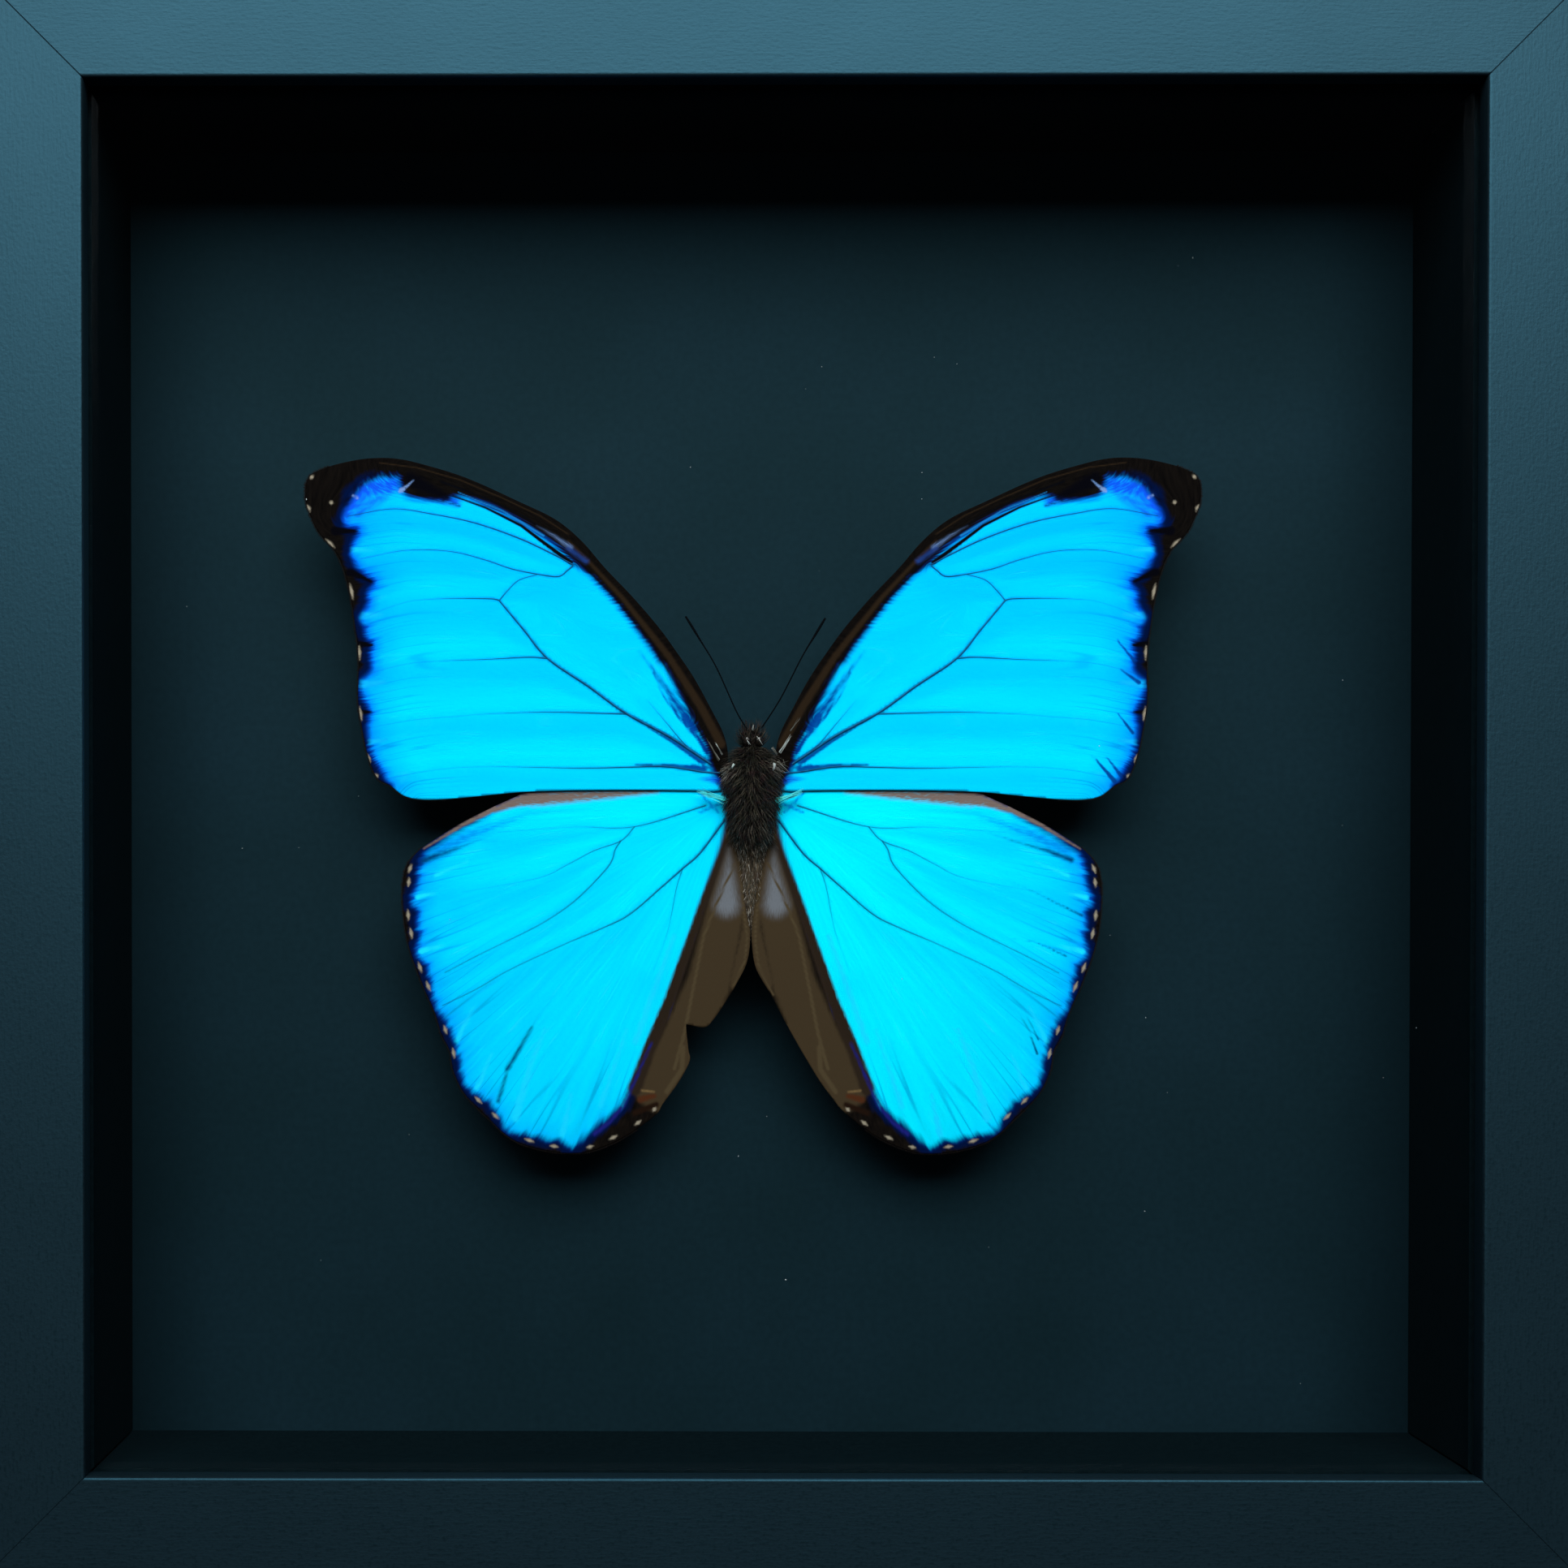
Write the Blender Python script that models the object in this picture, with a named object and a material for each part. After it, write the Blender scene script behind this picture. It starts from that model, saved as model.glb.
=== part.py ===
"""A spread blue morpho butterfly in a deep black box frame with a glazed front.

The frame stands on its bottom rail, its glass facing -Y. The origin is on the floor, under the middle
of the frame. X runs along the rails, Z is up, and depths are counted from the front face towards +Y.
"""

import math

import bmesh
import bpy
from mathutils import Matrix, Vector

MM = 0.001
GAP = 0.3                   # air left between pieces that touch

# Frame moulding, in millimetres
OUTER = 254.0               # outside width and height
FACE = 15.2                 # width of a rail's front face
RAIL_DEPTH = 46.0
LIP = 4.0                   # thickness of the lip in front of the glass
REBATE = 3.7                # how far the lip reaches in past the side wall
SIGHT_ARRIS = 0.7           # rounding of the edge round the opening
OUTER_ARRIS = 1.2

# What is stacked in the rebate
GLASS = 2.0
SPACER = 29.4
CARD = 1.5
BOARD = 3.0

# Fixings
TAB = (12.0, 16.0, 0.5)     # width, length, thickness
TAB_IN_RAIL = 5.0
TAB_PLACE = 62.0            # from the middle of a rail to a tab
HANGER = (44.0, 8.0, 0.9)   # length, height, thickness
HANGER_RISE = 1.0           # the toothed middle stands off the rail
HANGER_FOOT = 7.0
TEETH = 9
TOOTH_PITCH = 2.6
NAIL_HEAD = (1.6, 0.7)      # radius, thickness
NAIL_SHANK = (0.6, 8.0)     # radius, length

# The butterfly
BUTTERFLY = (-3.8, 3.1)     # middle of the thorax, from the middle of the frame
WING_DEPTH = 25.0           # wing plane, from the front face
WING_THICK = 0.4
FOREWING_LIFT = 0.5         # forewings lie in front of this plane, hindwings behind it
WINGTIP_RISE = 2.0          # wings lift towards the glass at their tips
WING_REACH = 76.5
WING_CELL = 9.0             # spacing of the creases that let a wing bend
BODY_SIDES = 20
ANTENNA_RADIUS = 0.22
BLOCK = (6.0, 7.0)          # width and height of the foam block behind the thorax

SIGHT = OUTER - 2 * FACE
GLASS_AT = LIP + GAP
SPACER_AT = GLASS_AT + GLASS + GAP
CARD_AT = SPACER_AT + SPACER + GAP
BOARD_AT = CARD_AT + CARD + GAP
TAB_AT = BOARD_AT + BOARD + GAP
HANGER_AT = RAIL_DEPTH + GAP
NAIL_HEAD_AT = HANGER_AT + HANGER[2] + GAP
TOTAL_DEPTH = NAIL_HEAD_AT + NAIL_HEAD[1]
FRONT = Vector((0, -TOTAL_DEPTH / 2, OUTER / 2))    # middle of the front face
SIDES = {"bottom": 0, "left": 90, "top": 180, "right": 270}

# Wing outlines, in millimetres out from the body's middle line and up from the middle of the thorax
FOREWING = [
    (4.8, 2.5), (7.6, 10.5), (13.5, 20.3), (21.0, 29.5), (29.8, 39.0), (34.3, 42.8), (40.0, 45.5),
    (49.0, 49.5), (57.0, 52.0), (63.5, 53.0), (69.0, 52.4), (74.5, 50.6), (76.4, 47.8), (75.8, 43.6),
    (73.3, 39.1), (70.5, 35.0), (69.0, 31.0), (68.0, 24.0), (67.5, 16.5), (67.0, 8.0), (65.5, 1.0),
    (62.2, -2.6), (57.0, -4.9), (47.0, -4.2), (36.0, -3.5), (20.0, -3.2), (8.0, -3.4), (4.9, -2.4),
]
HINDWING = [
    (4.9, -2.0), (11.0, 3.5), (21.0, 6.5), (31.0, 4.0), (38.5, -2.5), (45.0, -6.3), (50.0, -9.0),
    (54.0, -11.5), (57.2, -14.5), (59.3, -18.0), (60.1, -22.5), (59.6, -27.0), (57.8, -33.5),
    (55.5, -39.0), (53.4, -44.5), (51.5, -51.0), (49.5, -55.0), (45.8, -58.8), (41.5, -62.4),
    (36.5, -64.8), (31.0, -65.2), (26.0, -64.2), (20.5, -61.2), (16.0, -57.2), (13.0, -53.2),
]
INNER_MARGIN = [
    (10.3, -48.8), (7.0, -43.0), (4.2, -38.0), (2.0, -33.5), (1.2, -29.5), (1.2, -26.0), (1.9, -21.5),
    (2.9, -15.0), (4.0, -10.5), (4.8, -6.0),
]
TORN_MARGIN = [(11.1, -49.3), (11.7, -43.3), (8.7, -43.7)] + INNER_MARGIN[1:]

# Body stations: height, half width, half depth, in millimetres from the middle of the thorax
BODY = [
    (7.4, 0.3, 0.3), (7.1, 1.2, 1.0), (6.2, 1.9, 1.6), (5.0, 2.1, 1.8), (3.9, 1.7, 1.5), (3.0, 2.4, 2.2),
    (1.5, 3.7, 3.4), (-1.5, 4.3, 4.0), (-5.0, 4.3, 4.2), (-8.5, 3.6, 3.6), (-11.0, 2.6, 2.8),
    (-12.6, 2.2, 2.3), (-15.0, 2.2, 2.2), (-18.5, 1.7, 1.9), (-22.5, 1.0, 1.4), (-25.5, 0.6, 0.9),
    (-27.8, 0.15, 0.25),
]
ANTENNA = [(1.3, 7.3, -0.9), (3.4, 11.0, -1.6), (6.4, 17.0, -2.2), (9.3, 22.0, -2.4), (12.0, 26.3, -2.2)]


def clear_scene():
    for ob in list(bpy.data.objects):
        bpy.data.objects.remove(ob)


def finish_material(name, colour, roughness, metallic=0.0, clear=0.0):
    material = bpy.data.materials.new(name)
    material.use_nodes = True
    shader = material.node_tree.nodes["Principled BSDF"]
    shader.inputs["Base Color"].default_value = (*colour, 1.0)
    shader.inputs["Roughness"].default_value = roughness
    shader.inputs["Metallic"].default_value = metallic
    shader.inputs["Transmission Weight"].default_value = clear
    return material


def place_mesh(name, bm, material=None, at=FRONT, turn=0.0, smooth=False):
    """Turns millimetres into metres and puts the mesh at a point given in millimetres."""
    bmesh.ops.scale(bm, vec=(MM, MM, MM), verts=bm.verts)
    mesh = bpy.data.meshes.new(name)
    bm.to_mesh(mesh)
    bm.free()
    if smooth:
        mesh.shade_smooth()
        mesh.set_sharp_from_angle(angle=math.radians(40))
    ob = bpy.data.objects.new(name, mesh)
    bpy.context.scene.collection.objects.link(ob)
    if material:
        mesh.materials.append(material)
    ob.location = Vector(at) * MM
    ob.rotation_euler = (0, math.radians(turn), 0)
    return ob


def add_box(bm, low, high):
    low, high = Vector(low), Vector(high)
    place = Matrix.Translation((low + high) / 2) @ Matrix.Diagonal((*(high - low), 1))
    bmesh.ops.create_cube(bm, size=1, matrix=place)


def cut_with(ob, cutter):
    cutter.hide_render = True
    cutter.display_type = "WIRE"
    boolean = ob.modifiers.new("cut", "BOOLEAN")
    boolean.operation = "DIFFERENCE"
    boolean.object = cutter


def arc(centre, radius, start, stop, steps=4):
    turns = [math.radians(start + (stop - start) * i / steps) for i in range(steps + 1)]
    return [(centre[0] + radius * math.cos(t), centre[1] + radius * math.sin(t)) for t in turns]


# ---- Frame moulding and the strips behind the glass ----

def rail_profile():
    """The moulding's L section: how far out from the opening, and how far back."""
    inner, outer = SIGHT_ARRIS, OUTER_ARRIS
    return (
        arc((inner, inner), inner, 180, 270)
        + arc((FACE - outer, outer), outer, 270, 360)
        + [(FACE, RAIL_DEPTH), (REBATE, RAIL_DEPTH), (REBATE, LIP), (0, LIP)]
    )


def spacer_profile():
    width = REBATE - GAP
    return [(0, SPACER_AT), (width, SPACER_AT), (width, SPACER_AT + SPACER), (0, SPACER_AT + SPACER)]


def mitred_strip(name, profile, side, material):
    """Extrudes a section along one side of the opening, with its ends cut at 45 degrees."""
    bm = bmesh.new()
    joint = GAP / 2 * math.sqrt(2)
    ends = []
    for end in (-1, 1):
        ends.append([bm.verts.new((end * (SIGHT / 2 + out - joint), back, -SIGHT / 2 - out))
                     for out, back in profile])
    count = len(profile)
    for i in range(count):
        j = (i + 1) % count
        bm.faces.new((ends[0][i], ends[0][j], ends[1][j], ends[1][i]))
    bm.faces.new(ends[0])
    bm.faces.new(reversed(ends[1]))
    bmesh.ops.recalc_face_normals(bm, faces=bm.faces)
    return place_mesh(name, bm, material, turn=SIDES[side], smooth=True)


def rail_cutter(side):
    """The two tab slots in a rail's inner wall and, in the top rail, the two nail holes."""
    bm = bmesh.new()
    wall = -SIGHT / 2 - REBATE
    for sign in (-1, 1):
        half = TAB[0] / 2 + GAP
        add_box(
            bm,
            (sign * TAB_PLACE - half, TAB_AT - GAP, wall - TAB_IN_RAIL - GAP),
            (sign * TAB_PLACE + half, TAB_AT + TAB[2] + GAP, wall + 1),
        )
    if side == "top":
        for sign in (-1, 1):
            add_nail_hole(bm, sign * nail_offset(), -hanger_height(), RAIL_DEPTH + 1)
    return place_mesh("cut_rail_" + side, bm, turn=SIDES[side])


def make_frame(lacquer, board_black):
    for side in SIDES:
        rail = mitred_strip("rail_" + side, rail_profile(), side, lacquer)
        cut_with(rail, rail_cutter(side))
        mitred_strip("spacer_" + side, spacer_profile(), side, board_black)


# ---- Glass, card and board ----

def make_sheet(name, depth, thickness, material):
    """A square sheet that fills the rebate."""
    half = SIGHT / 2 + REBATE - GAP
    bm = bmesh.new()
    add_box(bm, (-half, depth, -half), (half, depth + thickness, half))
    sheet = place_mesh(name, bm, material)
    bevel = sheet.modifiers.new("arris", "BEVEL")
    bevel.width = 0.2 * MM
    bevel.segments = 1
    return sheet


# ---- Fixings at the back ----

def make_tab(side, sign, steel):
    bm = bmesh.new()
    wall = -SIGHT / 2 - REBATE
    add_box(
        bm,
        (sign * TAB_PLACE - TAB[0] / 2, TAB_AT, wall - TAB_IN_RAIL),
        (sign * TAB_PLACE + TAB[0] / 2, TAB_AT + TAB[2], wall - TAB_IN_RAIL + TAB[1]),
    )
    number = 1 if sign < 0 else 2
    place_mesh(f"tab_{side}_{number}", bm, steel, turn=SIDES[side])


def nail_offset():
    return HANGER[0] / 2 - HANGER_FOOT / 2


def hanger_height():
    """The middle of the rail's back face, up from the middle of the frame."""
    return SIGHT / 2 + REBATE + (FACE - REBATE) / 2


def add_nail_hole(bm, x, z, top):
    radius, length = NAIL_SHANK
    low = NAIL_HEAD_AT - length - GAP
    place = Matrix.Translation((x, (low + top) / 2, z)) @ Matrix.Rotation(math.pi / 2, 4, "X")
    bmesh.ops.create_cone(
        bm, cap_ends=True, segments=16, radius1=radius + GAP, radius2=radius + GAP,
        depth=top - low, matrix=place,
    )


def make_hanger(steel):
    """A bent steel strip: two feet on the rail and a raised middle with teeth along its lower edge."""
    length, height, thick = HANGER
    half, foot, rise = length / 2, length / 2 - HANGER_FOOT, HANGER_RISE
    under = [(-half, 0), (-foot, 0), (-foot + rise, rise), (foot - rise, rise), (foot, 0), (half, 0)]
    over = [(x, y + thick) for x, y in reversed(under)]
    z = hanger_height()
    bm = bmesh.new()
    face = bm.faces.new([bm.verts.new((x, HANGER_AT + y, z - height / 2)) for x, y in under + over])
    made = bmesh.ops.extrude_face_region(bm, geom=[face])
    top = [v for v in made["geom"] if isinstance(v, bmesh.types.BMVert)]
    bmesh.ops.translate(bm, vec=(0, 0, height), verts=top)
    bmesh.ops.recalc_face_normals(bm, faces=bm.faces)
    hanger = place_mesh("sawtooth_hanger", bm, steel)

    cutter = bmesh.new()
    for i in range(TEETH):
        x = (i - (TEETH - 1) / 2) * TOOTH_PITCH
        turn = Matrix.Rotation(math.pi / 2, 4, "X")
        place = Matrix.Translation((x, HANGER_AT + rise, z - height / 2)) @ turn
        bmesh.ops.create_cone(
            cutter, cap_ends=True, segments=4, radius1=1.2, radius2=1.2, depth=4, matrix=place,
        )
    for sign in (-1, 1):
        add_nail_hole(cutter, sign * nail_offset(), z, NAIL_HEAD_AT + 1)
    cut_with(hanger, place_mesh("cut_hanger", cutter))


def make_nail(name, sign, steel):
    """A round-headed nail, turned from its half section."""
    radius, head = NAIL_HEAD
    shank, length = NAIL_SHANK
    top = NAIL_HEAD_AT + head
    section = [
        (0, NAIL_HEAD_AT - length), (shank, NAIL_HEAD_AT - length + 1), (shank, NAIL_HEAD_AT),
        (radius, NAIL_HEAD_AT), (radius - 0.3, top), (0, top),
    ]
    bm = bmesh.new()
    verts = [bm.verts.new((r, y, 0)) for r, y in section]
    edges = [bm.edges.new(pair) for pair in zip(verts, verts[1:])]
    bmesh.ops.spin(bm, geom=verts + edges, axis=(0, 1, 0), cent=(0, 0, 0), steps=16, angle=math.tau)
    bmesh.ops.remove_doubles(bm, verts=bm.verts, dist=0.001)
    bmesh.ops.recalc_face_normals(bm, faces=bm.faces)
    bmesh.ops.translate(bm, vec=(sign * nail_offset(), 0, hanger_height()), verts=bm.verts)
    place_mesh(name, bm, steel, smooth=True)


# ---- Butterfly ----

def butterfly_place():
    return FRONT + Vector((BUTTERFLY[0], WING_DEPTH, BUTTERFLY[1]))


def smooth_loop(points, steps=2):
    """More points on a closed Catmull-Rom curve through the given ones."""
    loop = []
    count = len(points)
    for i in range(count):
        a, b, c, d = (Vector(points[(i + k) % count]) for k in (-1, 0, 1, 2))
        for s in range(steps):
            t = s / steps
            loop.append(
                0.5 * (2 * b + (c - a) * t + (2 * a - 5 * b + 4 * c - d) * t**2
                       + (3 * b - 3 * c + d - a) * t**3)
            )
    return loop


def make_wing(name, outline, side, lift, material):
    """A sheet cut to the outline, bent along a grid of creases and then thickened."""
    bm = bmesh.new()
    bm.faces.new([bm.verts.new((side * p.x, 0, p.y)) for p in smooth_loop(outline)])
    for axis, low, high in (((1, 0, 0), -80, 80), ((0, 0, 1), -70, 60)):
        for i in range(int((high - low) / WING_CELL)):
            at = Vector(axis) * (low + i * WING_CELL)
            geometry = bm.verts[:] + bm.edges[:] + bm.faces[:]
            bmesh.ops.bisect_plane(bm, geom=geometry, plane_co=at, plane_no=axis)
    bmesh.ops.triangulate(bm, faces=bm.faces)
    for v in bm.verts:
        v.co.y = lift - WINGTIP_RISE * (abs(v.co.x) / WING_REACH) ** 2
    wing = place_mesh(name, bm, material, at=butterfly_place())
    solidify = wing.modifiers.new("membrane", "SOLIDIFY")
    solidify.thickness = WING_THICK * MM
    solidify.offset = 0.0


def make_body(material):
    """Head, thorax and abdomen, lofted through elliptical sections from the face to the tail."""
    bm = bmesh.new()
    rings = []
    for z, wide, deep in BODY:
        turns = [math.tau * i / BODY_SIDES for i in range(BODY_SIDES)]
        rings.append([bm.verts.new((wide * math.cos(t), deep * math.sin(t), z)) for t in turns])
    for upper, lower in zip(rings, rings[1:]):
        for i in range(BODY_SIDES):
            j = (i + 1) % BODY_SIDES
            bm.faces.new((upper[i], upper[j], lower[j], lower[i]))
    bm.faces.new(rings[0])
    bm.faces.new(reversed(rings[-1]))
    bmesh.ops.recalc_face_normals(bm, faces=bm.faces)
    place_mesh("body", bm, material, at=butterfly_place(), smooth=True)


def make_antenna(name, side, material):
    """A thin stalk that thickens to a slim club."""
    curve = bpy.data.curves.new(name, "CURVE")
    curve.dimensions = "3D"
    curve.bevel_depth = ANTENNA_RADIUS * MM
    curve.bevel_resolution = 2
    curve.resolution_u = 6
    curve.use_fill_caps = True
    spline = curve.splines.new("BEZIER")
    spline.bezier_points.add(len(ANTENNA) - 1)
    for i, (point, (out, up, back)) in enumerate(zip(spline.bezier_points, ANTENNA)):
        point.co = Vector((side * out, back, up)) * MM
        point.handle_left_type = "AUTO"
        point.handle_right_type = "AUTO"
        point.radius = 1.6 if i == len(ANTENNA) - 1 else 1.0
    curve.materials.append(material)
    ob = bpy.data.objects.new(name, curve)
    bpy.context.scene.collection.objects.link(ob)
    ob.location = butterfly_place() * MM


def make_block(foam):
    """The foam block that carries the thorax in front of the card."""
    wide, high = BLOCK
    back_of_thorax = WING_DEPTH + max(deep for _, _, deep in BODY)
    x, z = BUTTERFLY
    z -= 4.0
    bm = bmesh.new()
    add_box(
        bm,
        (x - wide / 2, back_of_thorax + GAP, z - high / 2),
        (x + wide / 2, CARD_AT - GAP, z + high / 2),
    )
    place_mesh("mounting_block", bm, foam)


def make_butterfly():
    wing_blue = finish_material("wing_blue", (0.0, 0.45, 0.9), 0.4, metallic=0.5)
    dark_hair = finish_material("dark_hair", (0.03, 0.02, 0.015), 0.9)
    foam = finish_material("black_foam", (0.02, 0.02, 0.022), 0.95)
    inner = {-1: TORN_MARGIN, 1: INNER_MARGIN}
    for side, word in ((-1, "left"), (1, "right")):
        make_wing("forewing_" + word, FOREWING, side, -FOREWING_LIFT, wing_blue)
        make_wing("hindwing_" + word, HINDWING + inner[side], side, FOREWING_LIFT, wing_blue)
        make_antenna("antenna_" + word, side, dark_hair)
    make_body(dark_hair)
    make_block(foam)


def build():
    clear_scene()
    lacquer = finish_material("black_lacquer", (0.012, 0.03, 0.04), 0.45)
    board_black = finish_material("black_board", (0.008, 0.02, 0.028), 0.8)
    clear_glass = finish_material("float_glass", (0.95, 1.0, 0.98), 0.02, clear=1.0)
    hardboard = finish_material("hardboard", (0.25, 0.14, 0.07), 0.75)
    steel = finish_material("zinc_plate", (0.6, 0.6, 0.62), 0.35, metallic=1.0)
    make_frame(lacquer, board_black)
    make_sheet("glass_pane", GLASS_AT, GLASS, clear_glass)
    make_sheet("backing_card", CARD_AT, CARD, board_black)
    make_sheet("back_board", BOARD_AT, BOARD, hardboard)
    for side in SIDES:
        for sign in (-1, 1):
            make_tab(side, sign, steel)
    make_hanger(steel)
    make_nail("hanger_nail_left", -1, steel)
    make_nail("hanger_nail_right", 1, steel)
    make_butterfly()


build()
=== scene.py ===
import math

import bpy
import numpy as np
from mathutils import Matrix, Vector
from mathutils.geometry import delaunay_2d_cdt


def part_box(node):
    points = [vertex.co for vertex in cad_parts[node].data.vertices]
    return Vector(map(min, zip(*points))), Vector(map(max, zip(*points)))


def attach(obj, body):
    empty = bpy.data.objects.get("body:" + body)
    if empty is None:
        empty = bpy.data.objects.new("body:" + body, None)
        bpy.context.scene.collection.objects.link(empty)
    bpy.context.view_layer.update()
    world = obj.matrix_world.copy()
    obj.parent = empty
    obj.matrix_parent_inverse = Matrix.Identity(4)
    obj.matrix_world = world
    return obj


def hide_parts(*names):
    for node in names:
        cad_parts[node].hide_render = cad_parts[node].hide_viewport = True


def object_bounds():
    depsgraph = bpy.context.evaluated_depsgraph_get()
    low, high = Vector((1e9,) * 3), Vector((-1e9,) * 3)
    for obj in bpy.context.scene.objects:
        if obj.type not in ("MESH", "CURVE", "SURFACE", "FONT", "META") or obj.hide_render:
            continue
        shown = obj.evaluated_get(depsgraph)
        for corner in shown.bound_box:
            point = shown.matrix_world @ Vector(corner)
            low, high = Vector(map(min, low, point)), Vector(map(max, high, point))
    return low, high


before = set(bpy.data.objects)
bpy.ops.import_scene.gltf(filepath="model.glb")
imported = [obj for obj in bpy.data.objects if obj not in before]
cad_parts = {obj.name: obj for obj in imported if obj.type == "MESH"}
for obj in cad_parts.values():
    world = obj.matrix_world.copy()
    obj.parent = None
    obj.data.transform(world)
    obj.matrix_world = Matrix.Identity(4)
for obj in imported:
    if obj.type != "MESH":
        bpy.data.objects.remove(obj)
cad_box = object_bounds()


# ---- Camera, lamps and floor ----
# The box frame stands on a pale table. One large softbox hangs high in front of it, and two smaller
# ones stand behind it, so that its back and sides are lit without any light reaching its face.

MM = 0.001
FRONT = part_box("rail_top")[0].y
MIDDLE = Vector((0, FRONT, (cad_box[0][2] + cad_box[1][2]) / 2))


def linear(code):
    """An sRGB hex colour as linear light."""
    parts = [int(code[i:i + 2], 16) / 255 for i in (1, 3, 5)]
    return (*[c / 12.92 if c <= 0.04045 else ((c + 0.055) / 1.055) ** 2.4 for c in parts], 1)


def add_node(tree, kind, sockets=None, stops=(), **settings):
    """Adds a node and returns its outputs. A socket takes a value, a hex colour or another's output."""
    node = tree.nodes.new(kind)
    for name, value in settings.items():
        setattr(node, name, value)
    for socket, value in (sockets or {}).items():
        if isinstance(value, bpy.types.NodeSocket):
            tree.links.new(value, node.inputs[socket])
        elif isinstance(value, str) and value.startswith("#"):
            node.inputs[socket].default_value = linear(value)
        else:
            node.inputs[socket].default_value = value
    for index, (place, colour) in enumerate(stops):
        ramp = node.color_ramp.elements
        stop = ramp[index] if index < 2 else ramp.new(place)
        stop.position = place
        stop.color = linear(colour)
    return node.outputs


def start_material(name):
    material = bpy.data.materials.new(name)
    material.use_nodes = True
    material.node_tree.nodes.clear()
    return material, material.node_tree


def add_surface(tree, sockets):
    surface = add_node(tree, "ShaderNodeBsdfPrincipled", sockets)
    add_node(tree, "ShaderNodeOutputMaterial", {"Surface": surface[0]})


def add_object(name, verts, faces, materials=(), face_material=None, edges=()):
    """Makes a smooth-shaded mesh object from points in metres."""
    mesh = bpy.data.meshes.new(name)
    mesh.from_pydata([tuple(v) for v in verts], edges, faces)
    for material in materials:
        mesh.materials.append(material)
    if face_material is not None:
        mesh.polygons.foreach_set("material_index", face_material)
    mesh.shade_smooth()
    mesh.update()
    ob = bpy.data.objects.new(name, mesh)
    bpy.context.scene.collection.objects.link(ob)
    return ob


def add_lamp(name, place, target, size, power):
    lamp = bpy.data.lights.new(name, "AREA")
    lamp.shape = "RECTANGLE"
    lamp.size, lamp.size_y = size
    lamp.energy = power
    ob = bpy.data.objects.new(name, lamp)
    ob.location = place
    ob.rotation_euler = (Vector(target) - Vector(place)).to_track_quat("-Z", "Y").to_euler()
    bpy.context.scene.collection.objects.link(ob)
    return ob


# The view: a little below and left of the middle, with the lens shifted so that the frame looks square
camera = bpy.data.cameras.new("view")
camera.sensor_width = 36
camera.lens = 53.52
camera.shift_x = 0.1046
camera.shift_y = 0.1158
camera.clip_start = 0.01
eye = bpy.data.objects.new("view", camera)
eye.location = MIDDLE + Vector((-23.97, -372.4, -25.62)) * MM
eye.rotation_euler = [math.radians(turn) for turn in (89.371, -0.038, 0.319)]
bpy.context.scene.collection.objects.link(eye)
bpy.context.scene.camera = eye
bpy.context.scene.view_settings.view_transform = "Standard"

# The light: one wide softbox above the front, and two lamps behind
KEY_DISTANCE = 0.8
key_rise, key_turn = math.radians(40), math.radians(-1)
key_way = Vector((
    math.sin(key_turn) * math.cos(key_rise),
    -math.cos(key_turn) * math.cos(key_rise),
    math.sin(key_rise),
))
softbox = add_lamp("softbox", MIDDLE + key_way * KEY_DISTANCE, MIDDLE, (1.0, 0.56), 14)
for side in (-1, 1):
    add_lamp(f"back_lamp_{side}", (side * 0.9, 0.75, 0.75), (0, 0.02, 0.12), (0.6, 0.6), 9)

world = bpy.data.worlds.new("studio")
world.use_nodes = True
world.node_tree.nodes.clear()
to_camera = add_node(world.node_tree, "ShaderNodeLightPath")["Is Camera Ray"]
room = add_node(
    world.node_tree, "ShaderNodeMix", {0: to_camera, 6: "#2E3236", 7: "#DADADA"},
    data_type="RGBA",
)[2]
background = add_node(world.node_tree, "ShaderNodeBackground", {"Color": room})
add_node(world.node_tree, "ShaderNodeOutputWorld", {"Surface": background[0]})
bpy.context.scene.world = world

# Painted table top: matt and pale, with the faint cloudiness of rolled paint
table_paint, tree = start_material("rolled_table_paint")
cloud = add_node(tree, "ShaderNodeTexNoise", {"Scale": 6.0, "Detail": 4.0})["Fac"]
paint = add_node(
    tree, "ShaderNodeValToRGB", {"Fac": cloud},
    stops=[(0.3, "#C9C8C5"), (0.7, "#D2D1CE")],
)["Color"]
add_surface(tree, {"Base Color": paint, "Roughness": 0.85})
rim = [(3 * math.cos(math.tau * i / 96), 3 * math.sin(math.tau * i / 96), 0) for i in range(96)]
floor = add_object("floor", rim, [range(96)], [table_paint])
floor.visible_glossy = False
floor.visible_diffuse = False


# ---- Frame rails ----
# Four lengths of an L-section wooden moulding, mitred at the corners and glued. The wood is sprayed
# with a satin black lacquer that is thin enough to show a slight grain along each length.

OUTSIDE = 254.0
FACE_WIDTH = 15.2
OPENING = OUTSIDE - 2 * FACE_WIDTH
RAIL_DEPTH = 46.0
LIP, REBATE = 4.0, 3.7
SIGHT_ROUND, OUTER_ROUND = 0.6, 0.6
MITRE_GAP, MITRE_BEVEL = 0.0, 0.1
SIDE_TURNS = {"bottom": 0, "left": 90, "top": 180, "right": 270}


def corner(centre, radius, start, stop, steps=6):
    turns = np.radians(np.linspace(start, stop, steps + 1))
    return [(centre[0] + radius * math.cos(t), centre[1] + radius * math.sin(t)) for t in turns]


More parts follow.
